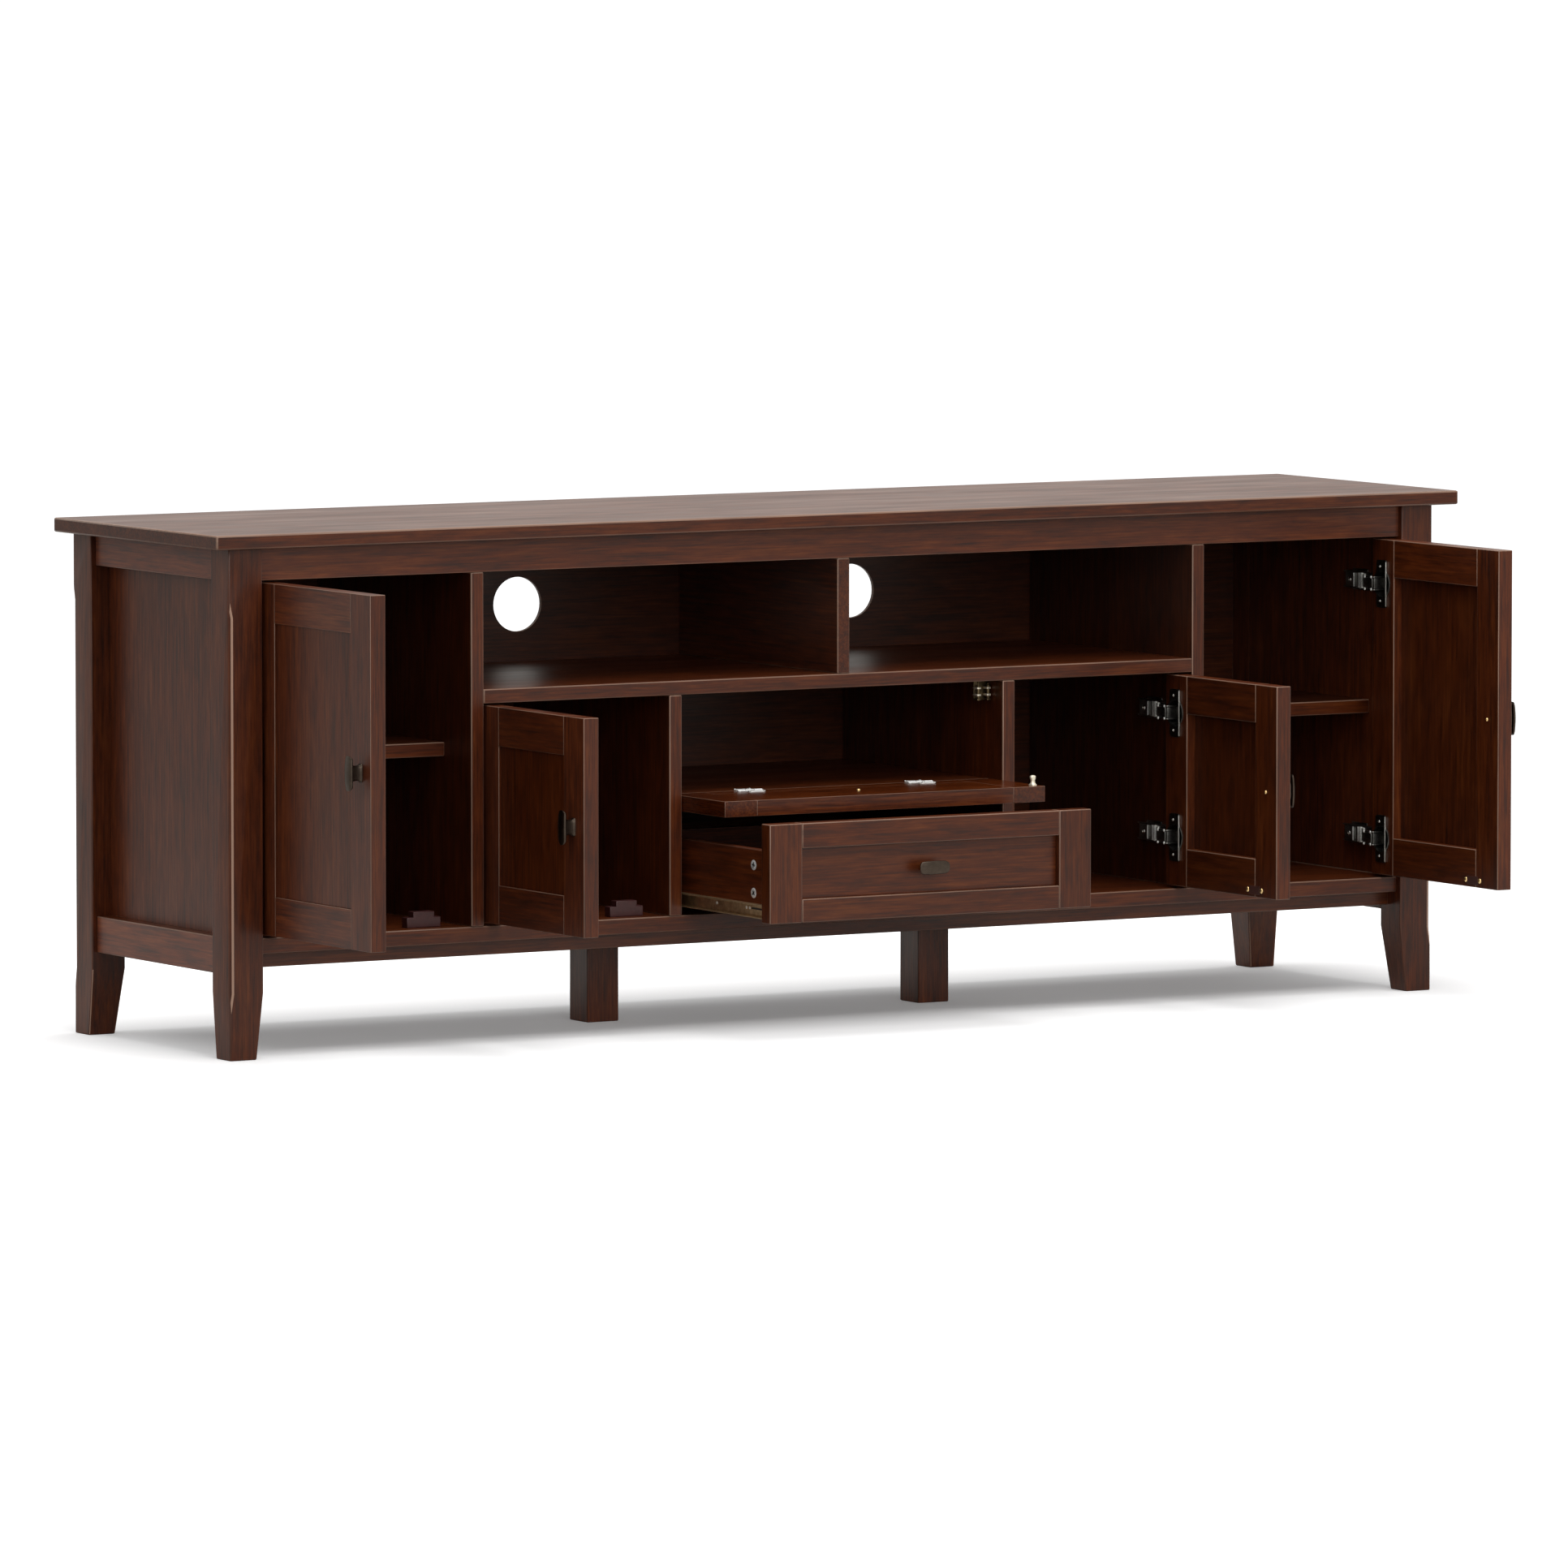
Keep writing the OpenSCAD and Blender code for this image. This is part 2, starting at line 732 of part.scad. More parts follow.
module left_small_panel() {
    color(wood) hung(-tall_divider_x) door_panel(small_w, small_h);
}

module left_small_knob() {
    color(bronze) hung(-tall_divider_x) door_knob(small_w, small_h);
}

module left_small_cups() {
    color(nickel) hung(-tall_divider_x) door_cups(small_cups);
}

module left_small_screws() {
    color(brass) hung(-tall_divider_x) door_screws(small_w, small_h, small_catch_in);
}

module right_small_frame() {
    mirror([1, 0, 0]) left_small_frame();
}

module right_small_panel() {
    mirror([1, 0, 0]) left_small_panel();
}

module right_small_knob() {
    mirror([1, 0, 0]) left_small_knob();
}

module right_small_cups() {
    mirror([1, 0, 0]) left_small_cups();
}

module right_small_screws() {
    mirror([1, 0, 0]) left_small_screws();
}

module right_tall_frame() {
    mirror([1, 0, 0]) left_tall_frame();
}

module right_tall_panel() {
    mirror([1, 0, 0]) left_tall_panel();
}

module right_tall_knob() {
    mirror([1, 0, 0]) left_tall_knob();
}

module right_tall_cups() {
    mirror([1, 0, 0]) left_tall_cups();
}

module right_tall_screws() {
    mirror([1, 0, 0]) left_tall_screws();
}

// the fall flap, drawn open: inner face up, pivot on the X axis, free edge towards -Y

module flapped() {
    placed() translate([0, flap_pivot_y, cover_z]) children();
}

module hinge_groove() {
    at_both_ends() translate([flap_hinge_x, 0, 0]) rotate([0, 90, 0])
        cylinder(r = knuckle_r + leaf_fit, h = flap_hinge_l + 2 * leaf_fit, center = true, $fn = small_n);
}

module flap_frame() {
    edge = flap_pivot_in;
    free = edge - flap_h;
    inner_x = flap_w / 2 - front_stile_w;
    rail_x = inner_x - glue_line;
    color(wood) flapped() intersection() {
        difference() {
            union() {
                board([inner_x, free, -flap_t], [flap_w / 2, edge, 0]);
                board([-flap_w / 2, free, -flap_t], [-inner_x, edge, 0]);
                board([-rail_x, free, -flap_t], [rail_x, free + flap_rail_h, 0]);
                board([-rail_x, edge - flap_rail_h, -flap_t], [rail_x, edge, 0]);
            }
            hinge_groove();
        }
        union() {
            board([-flap_w, -flap_h, -flap_t - 1], [flap_w, edge - flap_round, 1]);
            board([-flap_w, -flap_h, -flap_t + flap_round], [flap_w, edge + 1, 1]);
            translate([0, edge - flap_round, -flap_t + flap_round]) rotate([0, 90, 0])
                cylinder(r = flap_round, h = 2 * flap_w, center = true, $fn = face_n);
        }
    }
}

module flap_panel() {
    edge = flap_pivot_in;
    inner_x = flap_w / 2 - front_stile_w;
    color(wood) flapped()
        board([-inner_x, edge - flap_h + flap_rail_h, flap_recess - flap_t],
            [inner_x, edge - flap_rail_h, 0]);
}

// the grip lies within the recess, so that the drawer front passes under the open flap
module flap_knob() {
    out = flap_recess - flap_grip_t - seat;
    color(bronze) flapped()
        translate([0, flap_pivot_in - flap_h / 2, flap_recess - flap_t])
            rotate([90, 0, 0]) rotate([0, 90, 0]) knob(out, flap_grip_t);
}

module flap_hinge_leaves() {
    third = flap_hinge_l / 3;
    color(steel) flapped() at_both_ends() translate([flap_hinge_x, 0, 0]) {
        for (side = [-1, 1]) translate([side * third, 0, 0]) {
            rotate([0, 90, 0])
                cylinder(r = knuckle_r, h = third - 2 * leaf_fit, center = true, $fn = small_n);
            board([-third / 2 + leaf_fit, -leaf_l, 0], [third / 2 - leaf_fit, 0, leaf_t]);
        }
        board([-flap_hinge_l / 2, -leaf_l, 0], [flap_hinge_l / 2, -knuckle_r - 1, leaf_t]);
        rotate([0, 90, 0]) cylinder(r = flap_pin_r, h = 2 * third, center = true, $fn = small_n);
    }
}

module flap_hinge_plates() {
    third = flap_hinge_l / 3;
    color(steel) flapped() at_both_ends() translate([flap_hinge_x, 0, 0]) difference() {
        union() {
            rotate([0, 90, 0])
                cylinder(r = knuckle_r, h = third - 2 * leaf_fit, center = true, $fn = small_n);
            board([-third / 2 + leaf_fit, 0, leaf_fit], [third / 2 - leaf_fit, leaf_l, leaf_fit + leaf_t]);
            board([-flap_hinge_l / 2, knuckle_r + 1, leaf_fit],
                [flap_hinge_l / 2, leaf_l, leaf_fit + leaf_t]);
            board([-flap_hinge_l / 2, flap_pivot_in + cover_gap, 0],
                [flap_hinge_l / 2, leaf_l, leaf_fit + leaf_t]);
        }
        rotate([0, 90, 0])
            cylinder(r = flap_pin_r + pin_fit, h = third + 2, center = true, $fn = small_n);
    }
}

// base, neck and head of the strike on the flap's inner face, and the head of the knob's screw
module flap_strike() {
    base_h = 1.5;
    free = flap_pivot_in - flap_h;
    color(brass) flapped() {
        translate([spear_x, free + spear_in, 0]) {
            board([-spear_w / 2, -spear_w / 2 - 2, 0], [spear_w / 2, spear_w / 2 + 2, base_h]);
            board([-neck_w / 2, -neck_w / 2, base_h - eps], [neck_w / 2, neck_w / 2, spear_h - spear_w / 2]);
            translate([0, 0, spear_h - spear_w / 2]) rotate([90, 0, 0])
                cylinder(r = spear_w / 2, h = neck_w, center = true, $fn = small_n);
        }
        translate([0, flap_pivot_in - flap_h / 2, 0]) rotate([90, 0, 0])
            screw_head(knob_screw_r, strike_h);
    }
}

// two upright rollers in a bracket under the middle shelf
module roller_catch() {
    post_y = flap_pivot_y + spear_h + 2;
    plate_z = spear_closed_z - roller_l / 2 - seat;
    half_w = roller_x + roller_r;
    sheet_t = 2;
    color(brass) placed() translate([spear_x, 0, 0]) {
        difference() {
            union() {
                board([-half_w, spear_y - roller_r, mid_shelf_z - sheet_t],
                    [half_w, post_y + 8, mid_shelf_z]);
                board([-half_w, post_y, plate_z - sheet_t], [half_w, post_y + sheet_t, mid_shelf_z]);
                board([-half_w, spear_y - roller_r, plate_z - sheet_t],
                    [half_w, post_y + sheet_t, plate_z]);
            }
            board([-spear_w / 2 - roller_fit, spear_y - roller_r - 1, 0],
                [spear_w / 2 + roller_fit, post_y - 1, mid_shelf_z - sheet_t - 1]);
        }
        for (side = [-1, 1]) translate([side * roller_x, spear_y, spear_closed_z])
            cylinder(r = roller_r, h = roller_l, center = true, $fn = small_n);
    }
}

// the drawer, drawn pulled out

module drawer_front_frame() {
    half = flap_w / 2;
    inner_x = half - front_stile_w;
    rail_x = inner_x - glue_line;
    back = drawer_y + door_t;
    color(wood) placed() {
        at_both_ends()
            board([inner_x, drawer_y, drawer_z], [half, back, drawer_front_z]);
        board([-rail_x, drawer_y, drawer_z], [rail_x, back, drawer_z + drawer_rail_low]);
        board([-rail_x, drawer_y, drawer_front_z - drawer_rail_high], [rail_x, back, drawer_front_z]);
    }
}

module drawer_front_panel() {
    inner_x = flap_w / 2 - front_stile_w;
    color(wood) placed()
        board([-inner_x, drawer_y + drawer_recess, drawer_z + drawer_rail_low],
            [inner_x, drawer_y + drawer_recess + panel_t, drawer_front_z - drawer_rail_high]);
}

module drawer_knob() {
    z = (drawer_z + drawer_rail_low + drawer_front_z - drawer_rail_high) / 2;
    color(bronze) placed() translate([0, drawer_y + drawer_recess, z])
        rotate([0, 90, 0]) knob(stem_out, grip_t);
}

module drawer_sides() {
    color(wood_dark) placed() at_both_ends()
        board([drawer_side_x - side_t, drawer_side_y, drawer_side_z],
            [drawer_side_x, drawer_back_y, drawer_side_z + drawer_side_h]);
}

module drawer_back() {
    inner = drawer_side_x - side_t;
    color(wood_dark) placed()
        board([-inner, drawer_back_y - side_t, drawer_side_z],
            [inner, drawer_back_y, drawer_side_z + drawer_side_h]);
}

module drawer_bottom() {
    inner = drawer_side_x - side_t;
    color(wood_dark) placed()
        board([-inner, drawer_side_y, drawer_bottom_z],
            [inner, drawer_back_y - side_t, drawer_bottom_z + drawer_bottom_t]);
}

// flush round locks with a cross slot, two in each side
module drawer_cam_locks() {
    mid = drawer_side_z + drawer_side_h / 2 + 4;
    color(steel) placed() at_both_ends() for (side = [-1, 1])
        translate([drawer_side_x, drawer_side_y + cam_in, mid + side * cam_gap / 2])
            rotate([0, 90, 0]) difference() {
                cylinder(r = cam_r, h = cam_out, $fn = small_n);
                for (turn = [0, 90]) rotate([0, 0, turn])
                    translate([0, 0, cam_out]) cube([cam_r, 1.4, cam_out], center = true);
            }
}

// channels on the drawer's sides, open towards the dividers
module drawer_runners() {
    x = drawer_side_x;
    back = drawer_back_y;
    color(bronze) placed() at_both_ends() difference() {
        board([x, drawer_side_y + 2, runner_z], [x + runner_out, back, runner_z + runner_h]);
        board([x + runner_t, drawer_side_y, runner_z + runner_t],
            [x + runner_out + 1, back + 1, runner_z + runner_h - runner_t]);
    }
}

// channels on the dividers, around the drawer's runners
module drawer_tracks() {
    x = lower_divider_x;
    low = runner_z - runner_fit - runner_t;
    high = runner_z + runner_h + runner_fit + runner_t;
    front = front_y + door_t + 2;
    back = front + drawer_side_l;
    color(bronze) placed() at_both_ends() difference() {
        board([x - runner_lip, front, low], [x, back, high]);
        board([x - runner_lip - 1, front - 1, low + runner_t], [x - runner_t, back + 1, high - runner_t]);
    }
}

top_slab();
front_left_leg();
front_right_leg();
back_left_leg();
back_right_leg();
middle_left_leg();
middle_right_leg();
front_apron();
base_rails();
left_side_rails();
right_side_rails();
left_side_panel();
right_side_panel();
floor_panel();
left_divider();
right_divider();
upper_divider();
lower_dividers();
middle_shelf();
drawer_cover_board();
bay_shelves();
back_panel();
door_catches();
hinge_arms();
roller_catch();
drawer_tracks();
flap_hinge_plates();
left_tall_frame();
left_tall_panel();
left_tall_knob();
left_tall_cups();
left_tall_screws();
left_small_frame();
left_small_panel();
left_small_knob();
left_small_cups();
left_small_screws();
right_small_frame();
right_small_panel();
right_small_knob();
right_small_cups();
right_small_screws();
right_tall_frame();
right_tall_panel();
right_tall_knob();
right_tall_cups();
right_tall_screws();
flap_frame();
flap_panel();
flap_knob();
flap_hinge_leaves();
flap_strike();
drawer_front_frame();
drawer_front_panel();
drawer_knob();
drawer_sides();
drawer_back();
drawer_bottom();
drawer_cam_locks();
drawer_runners();
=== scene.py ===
# TV stand of stained wood: six legs, four inset doors, a fall flap and a drawer.
# Metres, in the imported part's frame: X along the front, Y into the depth, Z up.
import json
import math
import random

import bmesh
import bpy
from mathutils import Matrix, Vector

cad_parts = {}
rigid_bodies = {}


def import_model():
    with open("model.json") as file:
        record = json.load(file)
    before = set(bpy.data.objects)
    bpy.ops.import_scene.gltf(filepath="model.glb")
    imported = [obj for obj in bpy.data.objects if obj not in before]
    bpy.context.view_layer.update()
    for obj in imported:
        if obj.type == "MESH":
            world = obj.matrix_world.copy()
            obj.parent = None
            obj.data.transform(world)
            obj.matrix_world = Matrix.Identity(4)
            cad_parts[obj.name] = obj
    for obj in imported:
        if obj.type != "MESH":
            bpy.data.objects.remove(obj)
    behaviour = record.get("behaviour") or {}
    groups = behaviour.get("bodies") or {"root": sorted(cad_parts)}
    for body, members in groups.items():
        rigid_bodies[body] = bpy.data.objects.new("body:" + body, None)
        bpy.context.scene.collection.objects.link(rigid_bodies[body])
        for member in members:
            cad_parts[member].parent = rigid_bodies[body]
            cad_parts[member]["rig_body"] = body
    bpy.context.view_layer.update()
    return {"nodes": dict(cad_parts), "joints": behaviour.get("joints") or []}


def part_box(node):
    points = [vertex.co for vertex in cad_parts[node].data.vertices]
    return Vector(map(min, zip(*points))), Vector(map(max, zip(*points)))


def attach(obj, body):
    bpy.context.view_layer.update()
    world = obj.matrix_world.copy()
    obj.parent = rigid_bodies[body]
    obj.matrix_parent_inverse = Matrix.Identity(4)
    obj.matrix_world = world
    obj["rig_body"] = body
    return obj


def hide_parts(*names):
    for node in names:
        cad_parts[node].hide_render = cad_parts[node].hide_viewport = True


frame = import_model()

# Legs
# Six legs of solid hardwood carry the case. The corner legs taper on their inner faces
# and have a stopped chamfer on the outer edge. All are stained red-brown and lacquered.

LEGS = [
    "front_left_leg", "front_right_leg", "back_left_leg",
    "back_right_leg", "middle_left_leg", "middle_right_leg",
]
LEG_EASE = 0.0016
# Painted light: the middle legs are lightened, and so are the left faces of all legs.
MIDDLE_LEG_PAINTED_LIGHT = 1.3
LEG_LEFT_PAINTED_LIGHT = 1.2
STAIN_DARK = (0.040, 0.0078, 0.0018, 1)
STAIN_RED = (0.088, 0.0168, 0.0029, 1)
STAIN_LIGHT = (0.150, 0.0360, 0.0070, 1)
# The pale edge colour is partly wood showing through wear and partly a painted highlight.
WORN_AND_LIT_EDGE = (0.330, 0.200, 0.140, 1)
# Painted sheen: grey laid over the faces that are lightened most.
PAINTED_SHEEN_GREY = (0.350, 0.330, 0.320, 1)
# The way toward the light: bevels that face it get the most painted highlight.
PAINTED_HIGHLIGHT_SIDE = Vector((-0.60, -0.60, 0.50))
LEAST_WEAR_AND_HIGHLIGHT = 0.10

# The two facets of a chamfer's arris look a little to either side of this way, and a
# plain corner's facet looks straight along it.
CHAMFER_ARRIS = Vector((math.sin(math.radians(22.5)), math.cos(math.radians(22.5)), 0))
ARRIS_NEAR = 0.955
ARRIS_FAR = 0.995
# The chamfer's arris gets a painted highlight, brighter than the pale edge colour.
CHAMFER_HIGHLIGHT = 1.6

# Waves of the figure in a metre, along the grain and twice across it.
MOTTLE_WAVES = (4.5, 22, 22)
FEATHER_WAVES = (20, 75, 75)
FIBRE_WAVES = (16, 430, 430)
STREAK_WAVES = (8, 190, 190)
FLECK_WAVES = (26, 420, 420)
PORE_WAVES = (15, 330, 330)

# How much of the figure each layer makes, and where the stain turns from dark to light.
MOTTLE_SHARE = 0.24
FEATHER_SHARE = 0.23
STREAK_SHARE = 0.31
FIBRE_SHARE = 0.22
DARK_AT = 0.41
RED_AT = 0.51
LIGHT_AT = 0.63
FLECK_STRENGTH = 0.42
PORE_SHADE = 0.58

# Ranges of a layer or of the colour-and-light factor, and of what each range is turned into.
FLECK_RANGE = (0.60, 0.74)
PORE_RANGE = (0.54, 0.72)
FIBRE_TO_SHADE = (0.30, 0.70, 0.86, 1.14)
LIGHT_TO_PAINTED_SHEEN = (1.15, 2.4, 0.0, 0.09)
STREAK_TO_WEAR_AND_HIGHLIGHT = (0.30, 0.60, 0.62, 1.0)
WOOD_ROUGH = 0.42
WOOD_SMOOTH = 0.32
WOOD_SPECULAR = 0.34
RELIEF_STRENGTH = 0.12
RELIEF_DEPTH = 0.0002


def add(tree, kind, inputs=None, **settings):
    """A new shader or geometry node with its settings, and its inputs set or linked."""
    node = tree.nodes.new(kind)
    for name, value in settings.items():
        setattr(node, name, value)
    for socket, value in (inputs or {}).items():
        if isinstance(value, bpy.types.NodeSocket):
            tree.links.new(value, node.inputs[socket])
        else:
            node.inputs[socket].default_value = value
    return node


def noise(tree, place, scale, detail=3.0, roughness=0.55, distortion=0.0):
    """Noise that is drawn out by a scale for each axis of the place it is given."""
    stretched = add(tree, "ShaderNodeMapping", {"Vector": place, "Scale": scale})
    return add(tree, "ShaderNodeTexNoise", {
        "Vector": stretched.outputs["Vector"], "Scale": 1.0, "Detail": detail,
        "Roughness": roughness, "Distortion": distortion,
    }).outputs["Fac"]


def spread(tree, value, low, high, to_low=0.0, to_high=1.0):
    """A value remapped from low..high, and held inside the new range."""
    return add(tree, "ShaderNodeMapRange", {
        "Value": value, "From Min": low, "From Max": high,
        "To Min": to_low, "To Max": to_high,
    }).outputs["Result"]


def calculate(tree, operation, first, second=0.0):
    """What an operation makes of one or two values."""
    return add(tree, "ShaderNodeMath", {0: first, 1: second}, operation=operation).outputs[0]


def blend_colours(tree, share, first, second, kind="MIX"):
    """The second colour over the first, by a share from 0 to 1."""
    mix = add(tree, "ShaderNodeMix", data_type="RGBA", blend_type=kind)
    for socket, value in ((0, share), (6, first), (7, second)):
        if isinstance(value, bpy.types.NodeSocket):
            tree.links.new(value, mix.inputs[socket])
        else:
            mix.inputs[socket].default_value = value
    return mix.outputs[2]


def new_material(name):
    """A material with its node tree and its surface shader."""
    material = bpy.data.materials.new(name)
    material.use_nodes = True
    tree = material.node_tree
    return material, tree, tree.nodes["Principled BSDF"]


def wood_material(name, dark, red, light, edge, polish=1.0):
    """Lacquered wood: grain, painted light and shade, and pale edges of wear and painted
    highlight.

    The faces lightened most get a painted grey sheen.
    """
    material, tree, shader = new_material(name)
    along = add(tree, "ShaderNodeAttribute", attribute_name="grain").outputs["Vector"]
    tone_and_light = add(tree, "ShaderNodeAttribute", attribute_name="tone_and_light").outputs["Fac"]
    wear_and_highlight = add(tree, "ShaderNodeAttribute", attribute_name="wear_and_highlight").outputs["Fac"]
    mottle = noise(tree, along, MOTTLE_WAVES, detail=4, roughness=0.60, distortion=0.25)
    feather = noise(tree, along, FEATHER_WAVES, detail=4, roughness=0.62, distortion=0.5)
    fibre = noise(tree, along, FIBRE_WAVES, detail=3, roughness=0.6)
    streak = noise(tree, along, STREAK_WAVES, detail=4, roughness=0.65)
    flecks = spread(tree, noise(tree, along, FLECK_WAVES, detail=2), *FLECK_RANGE)
    pores = spread(tree, noise(tree, along, PORE_WAVES, detail=2), *PORE_RANGE)
    figure = calculate(tree, "MULTIPLY", mottle, MOTTLE_SHARE)
    for layer, share in ((feather, FEATHER_SHARE), (streak, STREAK_SHARE), (fibre, FIBRE_SHARE)):
        figure = calculate(tree, "ADD", figure, calculate(tree, "MULTIPLY", layer, share))
    ramp = add(tree, "ShaderNodeValToRGB", {"Fac": figure})
    ramp.color_ramp.elements[0].position = DARK_AT
    ramp.color_ramp.elements[0].color = dark
    ramp.color_ramp.elements[1].position = LIGHT_AT
    ramp.color_ramp.elements[1].color = light
    middle = ramp.color_ramp.elements.new(RED_AT)
    middle.color = red
    lit = blend_colours(tree, calculate(tree, "MULTIPLY", flecks, FLECK_STRENGTH),
                        ramp.outputs["Color"], light)
    shade = calculate(tree, "MULTIPLY", tone_and_light, spread(tree, fibre, *FIBRE_TO_SHADE))
    shade = calculate(tree, "MULTIPLY", shade, spread(tree, pores, 0, 1, 1.0, PORE_SHADE))
    stained = blend_colours(tree, 1.0, lit, shade, kind="MULTIPLY")
    # Painted sheen: the more a face is lightened, the more grey is laid over it.
    painted_sheen = spread(tree, tone_and_light, *LIGHT_TO_PAINTED_SHEEN)
    stained = blend_colours(tree, painted_sheen, stained, PAINTED_SHEEN_GREY)
    # Wear and painted highlight: the pale edge colour shows by the attribute's share, broken by
    # the streaks.
    wear_and_highlight_share = calculate(tree, "MULTIPLY", wear_and_highlight, spread(tree, streak, *STREAK_TO_WEAR_AND_HIGHLIGHT))
    bare_and_lit_edge = blend_colours(tree, 1.0, edge, calculate(tree, "MAXIMUM", wear_and_highlight, 1.0), kind="MULTIPLY")
    colour = blend_colours(tree, wear_and_highlight_share, stained, bare_and_lit_edge)
    tree.links.new(colour, shader.inputs["Base Color"])
    tree.links.new(
        spread(tree, mottle, 0.30, 0.70, WOOD_ROUGH * polish, WOOD_SMOOTH * polish),
        shader.inputs["Roughness"])
    shader.inputs["Specular IOR Level"].default_value = WOOD_SPECULAR
    relief = calculate(tree, "SUBTRACT", fibre, pores)
    bump = add(tree, "ShaderNodeBump",
               {"Height": relief, "Strength": RELIEF_STRENGTH, "Distance": RELIEF_DEPTH})
    tree.links.new(bump.outputs["Normal"], shader.inputs["Normal"])
    return material


stained_wood = wood_material("stained wood", STAIN_DARK, STAIN_RED, STAIN_LIGHT, WORN_AND_LIT_EDGE)


def solids_of(bm):
    """The vertices of each separate solid in a mesh."""
    left, solids = set(bm.verts), []
    while left:
        found, to_visit = set(), [next(iter(left))]
        while to_visit:
            vertex = to_visit.pop()
            if vertex not in found:
                found.add(vertex)
                to_visit += [e.other_vert(vertex) for e in vertex.link_edges]
        left -= found
        solids.append(sorted(found, key=lambda v: v.index))
    return sorted(solids, key=lambda s: s[0].index)


def ease_edges(bm, ease):
    """Rounds the outer arrises as sanding does, and gives back the new faces."""
    bmesh.ops.remove_doubles(bm, verts=bm.verts, dist=1e-6)
    bmesh.ops.dissolve_limit(bm, angle_limit=math.radians(0.5),
                             verts=bm.verts, edges=bm.edges)
    arrises = [e for e in bm.edges if len(e.link_faces) == 2
               and e.calc_face_angle_signed() > math.radians(30)]
    rounded = bmesh.ops.bevel(bm, geom=arrises, offset=ease, segments=2, profile=0.5,
                              affect="EDGES", clamp_overlap=True)
    return rounded["faces"]


def shade_by_angle(bm, limit=math.radians(20)):
    """Turned and drilled surfaces are shaded smooth, and flat ones stay flat."""
    for edge in bm.edges:
        angle = edge.calc_face_angle(0.0) if len(edge.link_faces) == 2 else 0.0
        edge.smooth = angle < limit
        if 0.01 < angle < limit:
            for face in edge.link_faces:
                face.smooth = True


def placed(name, data):
    """A new object that holds the data, linked to the scene."""
    made = bpy.data.objects.new(name, data)
    bpy.context.scene.collection.objects.link(made)
    return made


def finished(bm, name, body, material, slot, *nodes):
    """Links a finished mesh as one piece that rides on a body and stands for its nodes."""
    mesh = bpy.data.meshes.new(name)
    bm.to_mesh(mesh)
    bm.free()
    mesh.materials.append(material)
    piece = placed(name, mesh)
    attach(piece, body)
    if nodes:
        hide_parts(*nodes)
    return piece


def wooden(node, ease, slot="stained_wood", axis=None, tone_and_light=1.0, wear_and_highlight=1.0, material=None,
           painted_side_light=None, chamfer_highlight=None):
    """Stands for one CAD node of wood: the same solids with eased edges and a grain.

    The side light is a direction, and a factor of painted light and shade on faces that look
    that way.
    With a chamfer's value, only a chamfer's arris to the front or back is pale, a painted
    highlight.
    """
    rng = random.Random(node)
    source = frame["nodes"][node]
    bm = bmesh.new()
    bm.from_mesh(source.data)
    wear_and_highlight_layer = bm.faces.layers.float.new("wear_and_highlight")
    grain_layer = bm.verts.layers.float_vector.new("grain")
    tone_and_light_layer = bm.faces.layers.float.new("tone_and_light")
    for face in ease_edges(bm, ease):
        face.normal_update()
        # Painted highlight: bevels that face the light get more of the pale edge colour.
        face[wear_and_highlight_layer] = wear_and_highlight * min(1.0, max(LEAST_WEAR_AND_HIGHLIGHT, 1.2 * face.normal.dot(PAINTED_HIGHLIGHT_SIDE)))
        if chamfer_highlight:
            way = Vector((abs(face.normal.x), abs(face.normal.y), 0)).dot(CHAMFER_ARRIS)
            on_arris = ARRIS_NEAR < way < ARRIS_FAR
            face[wear_and_highlight_layer] = chamfer_highlight if on_arris else LEAST_WEAR_AND_HIGHLIGHT
    bm.verts.index_update()
    for solid in solids_of(bm):
        spans = [max(v.co[i] for v in solid) - min(v.co[i] for v in solid) for i in range(3)]
        along = spans.index(max(spans)) if axis is None else axis
        order = [along] + [i for i in range(3) if i != along]
        shift = Vector([rng.uniform(0, 9) for _ in range(3)])
        # Each member's depth of colour differs at random, times a factor of painted light and
        # shade.
        shade = tone_and_light * rng.uniform(0.90, 1.12)
        for vertex in solid:
            vertex[grain_layer] = Vector([vertex.co[i] for i in order]) + shift
        for face in {face for vertex in solid for face in vertex.link_faces}:
            on_side = painted_side_light and face.normal.dot(painted_side_light[0]) > 0.9
            face[tone_and_light_layer] = shade * (painted_side_light[1] if on_side else 1.0)
    shade_by_angle(bm)
    return finished(bm, node + "_wood", source["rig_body"], material or stained_wood, slot, node)


LEFTWARD = Vector((-1, 0, 0))
UP = Vector((0, 0, 1))
# Painted light on the legs' left faces, and a painted highlight on their chamfer arrises.
for leg in LEGS:
    shade = MIDDLE_LEG_PAINTED_LIGHT if leg.startswith("middle") else 1.0
    wooden(leg, LEG_EASE, tone_and_light=shade, painted_side_light=(LEFTWARD, LEG_LEFT_PAINTED_LIGHT / shade),
           chamfer_highlight=CHAMFER_HIGHLIGHT)

# Frame of the case
# Apron, side rails and base rails are tenoned into the legs. Thin panels sit in the
# side frames, and a thin back panel with two cable holes closes the rear.

RAIL_EASE = 0.0012
PANEL_EASE = 0.0006
# Painted light: the apron and the side rails' and panels' left faces are lightened.
APRON_PAINTED_LIGHT = 1.4
RAIL_LEFT_PAINTED_LIGHT = 2.15
PANEL_LEFT_PAINTED_LIGHT = 1.3
# Painted shade: the back panel is darkened.
BACK_PAINTED_SHADE = 0.72

